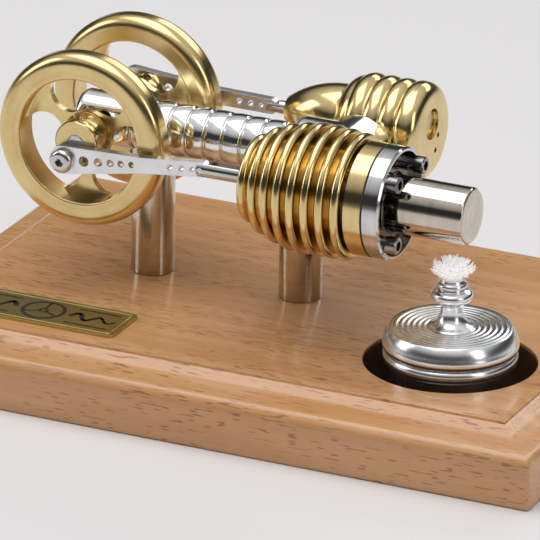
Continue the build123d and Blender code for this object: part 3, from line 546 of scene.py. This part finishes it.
def stand_in(
    node: str, body: str, slot: str, finish: Finish, rounding: float = 0.0, sharp: float = 35.0
) -> bpy.types.Object:
    """A smooth, dressed piece in the place of a CAD node.

    Args:
        node: The CAD node that it stands for.
        body: The body that it rides on.
        slot: The record's material slot.
        finish: What it wears.
        rounding: How far its hard edges are rounded, in metres.
        sharp: Edges that turn by more than this many degrees stay crisp.

    Returns:
        The piece.
    """
    bm = merged_copy(node)
    if rounding:
        soften(bm, rounding)
    piece = as_piece(node + "_piece", bm, finish, sharp)
    level_flats = piece.modifiers.new("level_flats", "WEIGHTED_NORMAL")
    level_flats.keep_sharp = True
    return mounted(piece, body, slot, node)


def mounted(piece: bpy.types.Object, body: str, slot: str, *nodes: str) -> bpy.types.Object:
    """Puts a piece on its body and hides the CAD nodes that it stands for.

    Args:
        piece: The piece, in place.
        body: The body that it rides on.
        slot: The record's material slot; not used.
        nodes: The CAD nodes that it stands for.

    Returns:
        The piece.
    """
    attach(piece, body)
    if nodes:
        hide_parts(*nodes)
    LOG.info("%s rides on %s", piece.name, body)
    return piece


class Assembly:
    """A group of pieces that belong together."""

    def build(self) -> list[bpy.types.Object]:
        """Makes the group's pieces.

        Returns:
            The pieces.
        """
        raise NotImplementedError


# ------------------------------------------------------------------ board and plate
@dataclass
class Board(Assembly):
    """The moulded beech board, with the burner's recess and two counterbored screw holes."""

    side_height: float = 11.6 * MM
    edge_round: float = 1.0 * MM
    shoulder: float = 3.6 * MM
    shoulder_steps: int = 6
    cove: Outline = field(
        default_factory=lambda: [(2.0, 0.15), (2.4, 0.45), (2.0, 0.9), (1.4, 1.15), (1.0, 0.35)]
    )
    recess_radius: float = 23.8 * MM
    recess_floor: float = 5.0 * MM
    mouth_round: float = 0.35 * MM
    round_segments: int = 128
    counterbore_radius: float = 3.9 * MM
    counterbore_depth: float = 3.9 * MM

    def _raise(
        self, bm: bmesh.types.BMesh, top: bmesh.types.BMFace, step_in: float, step_up: float
    ) -> None:
        """Draws the top face in and up by one step of the moulding."""
        bmesh.ops.inset_region(
            bm, faces=[top], thickness=step_in, depth=0.0, use_even_offset=True, use_boundary=True
        )
        bmesh.ops.translate(bm, verts=top.verts, vec=(0, 0, step_up))

    def _moulding(self, bm: bmesh.types.BMesh, top: bmesh.types.BMFace, height: float) -> None:
        """Works the shoulder, the cove and the last small step up to the field."""
        turned = 0.0
        for step in range(self.shoulder_steps):
            nxt = math.pi / 2 * (step + 1) / self.shoulder_steps
            run = self.shoulder * (math.cos(turned) - math.cos(nxt))
            rise = self.shoulder * (math.sin(nxt) - math.sin(turned))
            self._raise(bm, top, run, rise)
            turned = nxt
        rises = sum(rise for _, rise in self.cove) * MM
        fit = (height - self.side_height - self.shoulder) / (rises + 0.6 * MM)
        for run, rise in self.cove:
            self._raise(bm, top, run * MM, rise * MM * fit)
        self._raise(bm, top, 0.12 * MM, 0.6 * MM * fit)

    def _pierce(
        self, bm: bmesh.types.BMesh, face: bmesh.types.BMFace,
        holes: Sequence[tuple[float, float, float]], depth: float,
    ) -> None:
        """Opens round pockets in a flat face.

        Args:
            bm: The board.
            face: The flat face.
            holes: Centre x, centre y and radius of each pocket.
            depth: How far each pocket goes, along +Z.
        """
        z = face.verts[0].co.z
        rim = list(face.edges)
        bmesh.ops.delete(bm, geom=[face], context="FACES_ONLY")
        circles = []
        for x, y, radius in holes:
            made = bmesh.ops.create_circle(
                bm, segments=self.round_segments, radius=radius, matrix=Matrix.Translation((x, y, z))
            )
            circles.append(list({e for v in made["verts"] for e in v.link_edges}))
        bmesh.ops.triangle_fill(
            bm, use_beauty=True, edges=rim + [e for circle in circles for e in circle]
        )
        for circle in circles:
            wall = bmesh.ops.extrude_edge_only(bm, edges=circle)
            deep = [v for v in wall["geom"] if isinstance(v, bmesh.types.BMVert)]
            bmesh.ops.translate(bm, verts=deep, vec=(0, 0, depth))
            floor = [e for e in wall["geom"] if isinstance(e, bmesh.types.BMEdge)]
            bottom = [e for e in floor if all(v in deep for v in e.verts)]
            bmesh.ops.contextual_create(bm, geom=bottom)

    def build(self) -> list[bpy.types.Object]:
        """Makes the board."""
        low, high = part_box("base_board")
        size = high - low
        bm = bmesh.new()
        bmesh.ops.create_cube(
            bm, size=1.0,
            matrix=Matrix.Translation((0, 0, self.side_height / 2))
            @ Matrix.Diagonal((size.x, size.y, self.side_height, 1)),
        )
        top = max(bm.faces, key=lambda f: f.calc_center_median().z)
        self._moulding(bm, top, size.z)
        corners = [
            e for e in bm.edges
            if abs(e.verts[0].co.z - e.verts[1].co.z) > self.side_height / 2
            or max(v.co.z for v in e.verts) < 1e-6
        ]
        bmesh.ops.bevel(
            bm, geom=corners, offset=self.edge_round, offset_type="OFFSET", segments=4, profile=0.5,
            affect="EDGES", material=-1,
        )
        bm.faces.ensure_lookup_table()
        burner = middle("burner_tank")
        field_face = max(bm.faces, key=lambda f: (round(f.calc_center_median().z, 5), f.calc_area()))
        self._pierce(
            bm, field_face, [(burner.x, burner.y, self.recess_radius)], self.recess_floor - size.z
        )
        under = min(bm.faces, key=lambda f: (round(f.calc_center_median().z, 5), -f.calc_area()))
        screws = [middle(post) for post in ("crank_post", "cylinder_post")]
        self._pierce(
            bm, under, [(p.x, p.y, self.counterbore_radius) for p in screws], self.counterbore_depth
        )
        bmesh.ops.recalc_face_normals(bm, faces=bm.faces)
        mouth = [
            e for e in bm.edges
            if all(abs((v.co.xy - burner.xy).length - self.recess_radius) < 1e-6 for v in e.verts)
            and all(abs(v.co.z - size.z) < 1e-6 for v in e.verts)
        ]
        bmesh.ops.bevel(
            bm, geom=mouth, offset=self.mouth_round, offset_type="OFFSET", segments=3, profile=0.5,
            affect="EDGES", material=-1,
        )
        # The recess's centre, top and radius place the painted shade inside it.
        beech = VarnishedBeech(
            "varnished_beech", pocket=(burner.x, burner.y, size.z, self.recess_radius)
        )
        board = as_piece("base_board_piece", bm, beech, 28.0)
        return [mounted(board, "frame", "beech", "base_board")]


@dataclass
class Plate(Assembly):
    """The brass plate: an enamelled border line round a wheel emblem between two scrolls."""

    inlay: float = 0.05 * MM
    line: float = 0.7 * MM
    border_inset: float = 0.45 * MM
    border_round: float = 1.3 * MM
    wheel_radius: float = 6.4 * MM
    tyre_width: float = 1.1 * MM
    hub_radius: float = 1.5 * MM
    hub_width: float = 1.0 * MM
    spoke_width: float = 0.7 * MM
    scroll_start: float = 8.4 * MM
    scroll_length: float = 13.0 * MM
    scroll_height: float = 2.3 * MM
    scroll_steps: int = 28
    dash_length: float = 1.3 * MM
    brass: Finish = BrushedMetal("plate_brass", (0.62, 0.50, 0.20), (0.47, 0.36, 0.13), 0.34)
    enamel: Finish = DarkEnamel("plate_enamel")

    def _ring(self, bm: bmesh.types.BMesh, centre: Vector, radius: float, width: float) -> None:
        """Adds a flat ring to the inlay."""
        at = Matrix.Translation(centre)
        outer = bmesh.ops.create_circle(bm, segments=72, radius=radius, matrix=at)
        inner = bmesh.ops.create_circle(bm, segments=72, radius=radius - width, matrix=at)
        edges = {e for v in outer["verts"] + inner["verts"] for e in v.link_edges}
        bmesh.ops.bridge_loops(bm, edges=list(edges))

    def _bar(
        self, bm: bmesh.types.BMesh, centre: Vector, length: float, width: float, turn: float = 0.0
    ) -> None:
        """Adds a flat bar to the inlay."""
        bmesh.ops.create_grid(
            bm, x_segments=1, y_segments=1, size=0.5,
            matrix=Matrix.Translation(centre) @ Matrix.Rotation(turn, 4, "Z")
            @ Matrix.Diagonal((length, width, 1, 1)),
        )

    def _scroll(self, bm: bmesh.types.BMesh, start: Vector, side: int) -> None:
        """Adds a tapering wave of short bars on one side of the wheel."""
        for step in range(self.scroll_steps):
            share = step / (self.scroll_steps - 1)
            slope = math.cos(share * 4 * math.pi)
            wave = math.sin(share * 4 * math.pi) * self.scroll_height * (1 - 0.5 * share)
            at = start + Vector((side * share * self.scroll_length, wave, 0))
            width = self.line * (2.2 - 1.3 * share)
            self._bar(bm, at, self.dash_length, width, side * math.atan(slope * 1.7))

    def _border(self, bm: bmesh.types.BMesh, centre: Vector, half: Vector) -> None:
        """Adds the rounded border line."""
        grid = bmesh.ops.create_grid(
            bm, x_segments=1, y_segments=1, size=0.5,
            matrix=Matrix.Translation(centre) @ Matrix.Diagonal((2 * half.x, 2 * half.y, 1, 1)),
        )
        rounded = bmesh.ops.bevel(
            bm, geom=grid["verts"], offset=self.border_round, offset_type="OFFSET", segments=5,
            profile=0.5, affect="VERTICES", material=-1,
        )
        face = max(
            {f for v in rounded["verts"] for f in v.link_faces}, key=lambda f: f.calc_area()
        )
        bmesh.ops.inset_region(bm, faces=[face], thickness=self.line, depth=0.0, use_even_offset=True)
        bmesh.ops.delete(bm, geom=[face], context="FACES")

    def build(self) -> list[bpy.types.Object]:
        """Makes the plate and its inlay."""
        low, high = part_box("nameplate")
        centre = (low + high) / 2
        plate = stand_in("nameplate", "frame", "brass", self.brass, 0.12 * MM)
        centre.z = high.z - 0.02 * MM
        bm = bmesh.new()
        half = (high - low) / 2 - Vector((self.border_inset, self.border_inset, 0))
        self._border(bm, centre, half)
        self._ring(bm, centre, self.wheel_radius, self.tyre_width)
        self._ring(bm, centre, self.hub_radius, self.hub_width)
        for spoke in range(3):
            turn = math.radians(90 + 120 * spoke)
            arm = Vector((math.cos(turn), math.sin(turn), 0)) * (self.wheel_radius * 0.52)
            self._bar(bm, centre + arm, self.wheel_radius * 0.62, self.spoke_width, turn)
        for side in (-1, 1):
            self._scroll(bm, centre + Vector((side * self.scroll_start, 0, 0)), side)
            for edge in (-1, 1):
                at = centre + Vector((side * 15.0 * MM, edge * 5.2 * MM, 0))
                self._bar(bm, at, 13.0 * MM, self.line * 1.1)
        bmesh.ops.recalc_face_normals(bm, faces=bm.faces)
        lifted = bmesh.ops.extrude_face_region(bm, geom=bm.faces[:])
        tops = [v for v in lifted["geom"] if isinstance(v, bmesh.types.BMVert)]
        bmesh.ops.translate(bm, verts=tops, vec=(0, 0, self.inlay))
        bmesh.ops.recalc_face_normals(bm, faces=bm.faces)
        inlay = as_piece("nameplate_enamel", bm, self.enamel)
        return [plate, mounted(inlay, "frame", "brass")]


# ------------------------------------------------------------------ posts, bar and drum
@dataclass
class Posts(Assembly):
    """The two nickel posts and the screws that hold them from below."""

    rounding: float = 0.12 * MM

    def build(self) -> list[bpy.types.Object]:
        """Makes the posts and their screws."""
        made = []
        for node in ("crank_post", "cylinder_post"):
            # The posts' nickel carries painted reflection of the wood and brass in its warm, dark tone.
            finish = TurnedMetal(
                node + "_nickel", NICKEL, NICKEL_SHADE, Axis.Z, tuple(middle(node)), 0.13, 0.25
            )
            made.append(stand_in(node, "frame", "nickel", finish))
        screws = BrushedMetal("screw_steel", STEEL, STEEL_SHADE)
        made.append(stand_in("post_screws", "frame", "steel", screws, self.rounding))
        return made


@dataclass
class CentreBar(Assembly):
    """The ribbed aluminium bar, the cross drum at its end and the nipples to the cylinders."""

    def build(self) -> list[bpy.types.Object]:
        """Makes the bar, the drum and the nipples."""
        bar_centre = tuple(middle("spine_bar"))
        drum_centre = tuple(middle("transfer_drum"))
        bar = TurnedMetal("bar_aluminium", ALUMINIUM, ALUMINIUM_SHADE, Axis.X, bar_centre, 0.1, 0.2, 0.05)
        drum = TurnedMetal("drum_aluminium", ALUMINIUM, ALUMINIUM_SHADE, Axis.Y, drum_centre, 0.12, 0.3)
        made = [
            stand_in("spine_bar", "frame", "aluminium", bar),
            stand_in("transfer_drum", "frame", "aluminium", drum),
        ]
        for node in ("displacer_nipple", "power_nipple"):
            made.append(stand_in(node, "frame", "aluminium", drum))
        return made


# ------------------------------------------------------------------ crank and rods
@dataclass
class Crank(Assembly):
    """The crankshaft with its two flywheels, its bearings and the front crank pin."""

    def build(self) -> list[bpy.types.Object]:
        """Makes everything on the crankshaft's line."""
        shaft_centre = tuple(middle("crankshaft"))
        brass = TurnedMetal("wheel_brass", BRASS, BRASS_SHADE, Axis.Y, shaft_centre, 0.2, 0.45, 0.1)
        steel = TurnedMetal("shaft_steel", STEEL, STEEL_SHADE, Axis.Y, shaft_centre, 0.14)
        sleeve = TurnedMetal("sleeve_aluminium", ALUMINIUM, ALUMINIUM_SHADE, Axis.Y, shaft_centre, 0.16)
        made = [
            stand_in("front_flywheel", "crank", "brass", brass),
            stand_in("rear_flywheel", "crank", "brass", brass),
            stand_in("shaft_sleeves", "crank", "steel", sleeve),
        ]
        for node in ("crankshaft", "bearing_inner_rings", "displacer_crank_pin", "displacer_pin_washer",
                     "hub_grub_screws"):
            made.append(stand_in(node, "crank", "steel", steel))
        for node in ("bearing_outer_rings", "bearing_balls"):
            made.append(stand_in(node, "frame", "steel", steel))
        return made


@dataclass
class Rods(Assembly):
    """Both connecting rods, the sliding rods and their pins."""

    rounding: float = 0.1 * MM

    def build(self) -> list[bpy.types.Object]:
        """Makes the moving rods of both sides."""
        satin = BrushedMetal("conrod_aluminium", ALUMINIUM, ALUMINIUM_SHADE, 0.3)
        made = []
        for side, link, unit, pin_body in (
            ("displacer", "displacer_link", "displacer_unit", None),
            ("power", "power_link", "power_unit", "power_link"),
        ):
            centre = tuple(middle(side + "_rod"))
            bush_centre = tuple(middle(side + "_conrod_bush"))
            rod = TurnedMetal(side + "_rod_steel", STEEL, STEEL_SHADE, Axis.X, centre, 0.12)
            bush = TurnedMetal(side + "_bush_bronze", BRONZE, BRONZE_SHADE, Axis.Y, bush_centre, 0.25)
            pin = TurnedMetal(side + "_pin_steel", STEEL, STEEL_SHADE, Axis.Y, bush_centre, 0.14)
            made.append(stand_in(side + "_conrod", link, "aluminium", satin, self.rounding))
            made.append(stand_in(side + "_conrod_bush", link, "bronze", bush))
            made.append(stand_in(side + "_rod", unit, "steel", rod))
            if pin_body:
                made.append(stand_in(side + "_crank_pin", pin_body, "steel", pin))
                made.append(stand_in(side + "_pin_washer", pin_body, "steel", pin))
        wrist = TurnedMetal(
            "wrist_steel", STEEL, STEEL_SHADE, Axis.Y, tuple(middle("power_wrist_pin")), 0.14
        )
        made.append(stand_in("power_wrist_pin", "power_unit", "steel", wrist))
        made.append(stand_in("displacer_wrist_pin_ends", "displacer_unit", "steel", wrist))
        made.append(stand_in("displacer_wrist_pin_core", "displacer_link", "steel", wrist))
        return made


# ------------------------------------------------------------------ cylinders
@dataclass
class DisplacerSide(Assembly):
    """The finned brass cylinder, its flange, hot cap and screws, and the displacer inside."""

    def build(self) -> list[bpy.types.Object]:
        """Makes the displacer side."""
        centre = tuple(middle("hot_cap"))
        brass = TurnedMetal("fin_brass", BRASS, BRASS_SHADE, Axis.X, centre, 0.15, 0.3)
        bronze = TurnedMetal("guide_bronze", BRONZE, BRONZE_SHADE, Axis.X, centre, 0.25)
        steel = TurnedMetal("flange_steel", (0.72, 0.72, 0.72), STEEL_SHADE, Axis.X, centre, 0.12, 0.25)
        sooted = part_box("flange_sleeves")[1].x
        cap = TurnedMetal(
            "cap_steel", (0.68, 0.63, 0.56), (0.50, 0.42, 0.33), Axis.X, centre, 0.08, 0.08,
            0.05, soot_end=sooted,
        )
        screw = BrushedMetal("cap_screw_steel", (0.40, 0.39, 0.38), (0.20, 0.19, 0.18), 0.22)
        sheet = SheetGasket("gasket_sheet")
        made = [
            stand_in("displacer_cylinder", "frame", "brass", brass, sharp=30.0),
            stand_in("displacer_rod_guide", "frame", "bronze", bronze),
            stand_in("cylinder_gasket", "frame", "gasket", sheet),
            stand_in("flange_ring", "frame", "steel", steel),
            stand_in("hot_cap", "frame", "steel", cap),
            stand_in("flange_sleeves", "frame", "steel", steel),
            stand_in("flange_screws", "frame", "steel", screw),
            stand_in("displacer", "displacer_unit", "steel", steel),
        ]
        return made


@dataclass
class PowerSide(Assembly):
    """The brass power cylinder with its head and plug, and the piston inside."""

    def build(self) -> list[bpy.types.Object]:
        """Makes the power side."""
        centre = tuple(middle("power_cylinder"))
        brass = TurnedMetal("power_brass", BRASS, BRASS_SHADE, Axis.X, centre, 0.17, 0.35)
        plug = TurnedMetal("plug_brass", BRASS_SHADE, BRASS, Axis.X, centre, 0.22, 0.4)
        piston = TurnedMetal("piston_aluminium", ALUMINIUM, ALUMINIUM_SHADE, Axis.X, centre, 0.2)
        return [
            stand_in("power_cylinder", "frame", "brass", brass, sharp=30.0),
            stand_in("power_head", "frame", "brass", brass, sharp=30.0),
            stand_in("power_head_plug", "frame", "brass", plug),
            stand_in("power_piston", "power_unit", "aluminium", piston),
        ]


# ------------------------------------------------------------------ burner
@dataclass
class Burner(Assembly):
    """The turned spirit burner with its frayed cotton wick."""

    strands: int = 420
    strand_radius: float = 0.2 * MM
    core_radius: float = 2.0 * MM
    strand_wave: float = 0.35 * MM
    root_depth: float = 0.6 * MM
    seed: int = 11

    def _core(self, foot: float, neck: float, centre: Vector) -> bmesh.types.BMesh:
        """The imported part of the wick, from deep in the tank to the root of the tuft."""
        chance = random.Random(self.seed)
        bm = bmesh.new()
        rings = [(foot, 1.0), (neck, 1.0), (neck + 1.2 * MM, 1.15), (neck + 2.4 * MM, 1.1),
                 (neck + 3.2 * MM, 0.8), (neck + 3.8 * MM, 0.4)]
        start = [bm.verts.new((centre.x, centre.y, foot))]
        start += [bm.verts.new((centre.x + self.core_radius * r, centre.y, z)) for z, r in rings]
        start.append(bm.verts.new((centre.x, centre.y, neck + 4.0 * MM)))
        edges = [bm.edges.new(pair) for pair in zip(start, start[1:])]
        bmesh.ops.spin(
            bm, geom=start + edges, cent=centre, axis=(0, 0, 1), angle=2 * math.pi, steps=28,
            use_merge=True, use_duplicate=False,
        )
        bmesh.ops.remove_doubles(bm, verts=bm.verts, dist=0.001 * MM)
        bmesh.ops.recalc_face_normals(bm, faces=bm.faces)
        for vert in bm.verts:
            if vert.co.z > neck + 0.5 * MM:
                out = Vector((vert.co.x - centre.x, vert.co.y - centre.y, 0))
                vert.co += out * chance.uniform(-0.22, 0.22)
        return bm

    def _tuft(self, neck: float, top: float, reach: float, centre: Vector) -> bpy.types.Object:
        """The loose strands that splay out of the neck.

        Args:
            neck: Height of the neck's rim.
            top: Highest that a strand may go.
            reach: Furthest that a strand may go sideways.
            centre: The wick's axis.

        Returns:
            The strands as one mesh object.
        """
        chance = random.Random(self.seed + 1)
        curve = bpy.data.curves.new("wick_strands", "CURVE")
        curve.dimensions = "3D"
        curve.bevel_depth = self.strand_radius
        curve.bevel_resolution = 0
        curve.use_fill_caps = True
        for _ in range(self.strands):
            turn = chance.uniform(0, 2 * math.pi)
            lean = chance.random() ** 0.7
            length = chance.uniform(0.5, 1.0)
            height = (top - neck) * length * 0.98 * (1 - 0.45 * lean)
            points = []
            curl = chance.uniform(-0.9, 0.9)
            for step in range(6):
                share = step / 5
                splay = reach * 0.85 * lean * length * share**1.4
                out = self.core_radius * (0.35 + 0.65 * lean) + splay
                angle = turn + curl * share
                wobble = self.strand_wave * math.sin(share * 9 + turn * 5)
                out = min(out + wobble, reach - 2 * self.strand_radius)
                rise = neck - self.root_depth + height * share**0.8
                points.append((
                    centre.x + out * math.cos(angle), centre.y + out * math.sin(angle),
                    min(rise, top - 2 * self.strand_radius),
                ))
            spline = curve.splines.new("NURBS")
            spline.points.add(len(points) - 1)
            for point, at in zip(spline.points, points):
                point.co = (*at, 1.0)
            spline.order_u = 3
            spline.use_endpoint_u = True
            spline.resolution_u = 2
        maker = bpy.data.objects.new("wick_strands_curve", curve)
        bpy.context.scene.collection.objects.link(maker)
        bpy.context.view_layer.update()
        mesh = bpy.data.meshes.new_from_object(maker.evaluated_get(bpy.context.evaluated_depsgraph_get()))
        bpy.data.objects.remove(maker)
        piece = bpy.data.objects.new("wick_strands", mesh)
        bpy.context.scene.collection.objects.link(piece)
        mesh.materials.clear()
        mesh.materials.append(LooseCotton("loose_cotton").material())
        mesh.shade_smooth()
        return piece

    def build(self) -> list[bpy.types.Object]:
        """Makes the tank, the lid and the wick."""
        centre = middle("burner_lid")
        turned = TurnedMetal(
            "burner_aluminium", ALUMINIUM, ALUMINIUM_SHADE, Axis.Z, tuple(centre), 0.24, 0.3, 0.06
        )
        low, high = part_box("wick")
        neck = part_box("burner_lid")[1].z
        reach = (high.x - low.x) / 2
        core = as_piece(
            "wick_core", self._core(low.z, neck, middle("wick").xy.to_3d()),
            LooseCotton("loose_cotton"), 80.0,
        )
        tuft = self._tuft(neck, high.z, reach, middle("wick"))
        return [
            stand_in("burner_tank", "burner", "aluminium", turned),
            stand_in("burner_lid", "burner_top", "aluminium", turned, sharp=30.0),
            mounted(core, "burner_top", "cotton", "wick"),
            mounted(tuft, "burner_top", "cotton"),
        ]


# ------------------------------------------------------------------ studio
@dataclass
class Studio:
    """The camera, the pale floor and the soft light."""

    azimuth: float = 24.07
    elevation: float = 20.95
    roll: float = 1.14
    distance: float = 2.26724
    lens: float = 548.6
    target: tuple[float, float, float] = (-0.007, 0.001, 0.044)
    re_aim: tuple[float, float] = (-0.001267, -0.01756)
    floor_colour: Colour = (0.80, 0.785, 0.79)

    def camera(self) -> None:
        """Makes the camera and makes it the scene's own."""
        turn, rise, roll = (math.radians(a) for a in (self.azimuth, self.elevation, self.roll))
        away = Vector(
            (math.sin(turn) * math.cos(rise), -math.cos(turn) * math.cos(rise), math.sin(rise))
        )
        right = Vector((math.cos(turn), math.sin(turn), 0))
        up = away.cross(right)
        right, up = (
            right * math.cos(roll) + up * math.sin(roll), up * math.cos(roll) - right * math.sin(roll)
        )
        target = Vector(self.target)
        spot = target + away * self.distance
        aim = target + right * self.re_aim[0] + up * self.re_aim[1]
        back = (spot - aim).normalized()
        side = up.cross(back).normalized()
        turned = Matrix((side, back.cross(side), back)).transposed().to_4x4()
        data = bpy.data.cameras.new("camera")
        data.lens = self.lens
        data.sensor_width = 36.0
        data.clip_end = 50.0
        made = bpy.data.objects.new("camera", data)
        made.matrix_world = Matrix.Translation(spot) @ turned
        bpy.context.scene.collection.objects.link(made)
        bpy.context.scene.camera = made

    def floor(self) -> None:
        """Makes the plain pale floor."""
        bm = bmesh.new()
        bmesh.ops.create_grid(bm, x_segments=1, y_segments=1, size=8.0)
        graph = Graph("pale_floor")
        grain = graph.noise(graph.place(), scale=3.0, detail=2.0)
        tone = graph.mix(grain, self.floor_colour, tuple(c * 0.985 for c in self.floor_colour))
        graph.feed(Base_Color=tone, Roughness=0.6)
        mesh = bpy.data.meshes.new("floor")
        bm.to_mesh(mesh)
        bm.free()
        mesh.materials.append(graph.material)
        floor = bpy.data.objects.new("floor", mesh)
        bpy.context.scene.collection.objects.link(floor)

    def panel(self, name: str, at: Sequence[float], size: Sequence[float], watts: float) -> None:
        """Makes one soft panel that faces the engine.

        Args:
            name: The light's name.
            at: Where its middle is.
            size: Its width and height.
            watts: Its power.
        """
        data = bpy.data.lights.new(name, "AREA")
        data.shape = "RECTANGLE"
        data.size, data.size_y = size
        data.energy = watts
        made = bpy.data.objects.new(name, data)
        spot = Vector(at)
        made.matrix_world = Matrix.Translation(spot) @ (Vector((0, 0, 0.05)) - spot).to_track_quat(
            "-Z", "Y"
        ).to_matrix().to_4x4()
        bpy.context.scene.collection.objects.link(made)

    def surround(self) -> None:
        """Makes the room: pale overhead, darker towards the horizon."""
        world = bpy.data.worlds.new("studio")
        bpy.context.scene.world = world
        world.use_nodes = True
        tree = world.node_tree
        tree.nodes.clear()
        coords = tree.nodes.new("ShaderNodeTexCoord")
        split = tree.nodes.new("ShaderNodeSeparateXYZ")
        ramp = tree.nodes.new("ShaderNodeValToRGB")
        back = tree.nodes.new("ShaderNodeBackground")
        out = tree.nodes.new("ShaderNodeOutputWorld")
        ramp.color_ramp.elements[0].position = 0.0
        ramp.color_ramp.elements[0].color = (0.30, 0.29, 0.28, 1)
        ramp.color_ramp.elements[1].position = 0.8
        ramp.color_ramp.elements[1].color = (1.0, 1.0, 1.0, 1)
        for position, level in ((0.14, 0.05), (0.42, 0.05), (0.55, 0.5)):
            stop = ramp.color_ramp.elements.new(position)
            stop.color = (level, level, level, 1)
        back.inputs["Strength"].default_value = 0.7
        tree.links.new(coords.outputs["Generated"], split.inputs[0])
        tree.links.new(split.outputs["Z"], ramp.inputs[0])
        tree.links.new(ramp.outputs[0], back.inputs["Color"])
        tree.links.new(back.outputs[0], out.inputs[0])

    def build(self) -> None:
        """Sets the whole studio."""
        self.camera()
        self.floor()
        self.surround()
        self.panel("overhead", (-0.15, -0.1, 1.25), (1.3, 0.9), 7.5)
        self.panel("left", (-1.3, -0.5, 0.7), (0.5, 0.9), 4.0)
        self.panel("right", (1.2, -0.35, 0.6), (0.35, 0.8), 2.2)
        self.panel("rear", (0.2, 1.5, 0.9), (1.2, 0.4), 3.5)
        bpy.context.scene.view_settings.view_transform = "Standard"


def main() -> None:
    """Builds every sub-assembly in order, then the studio."""
    logging.basicConfig(level=logging.INFO, format="%(name)s %(message)s")
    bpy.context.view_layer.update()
    assemblies = (
        Board(), Plate(), Posts(), CentreBar(), Crank(), Rods(), DisplacerSide(), PowerSide(), Burner(),
    )
    for assembly in assemblies:
        made = assembly.build()
        LOG.info("%s made %d pieces", type(assembly).__name__, len(made))
    Studio().build()


if __name__ == "__main__":
    main()
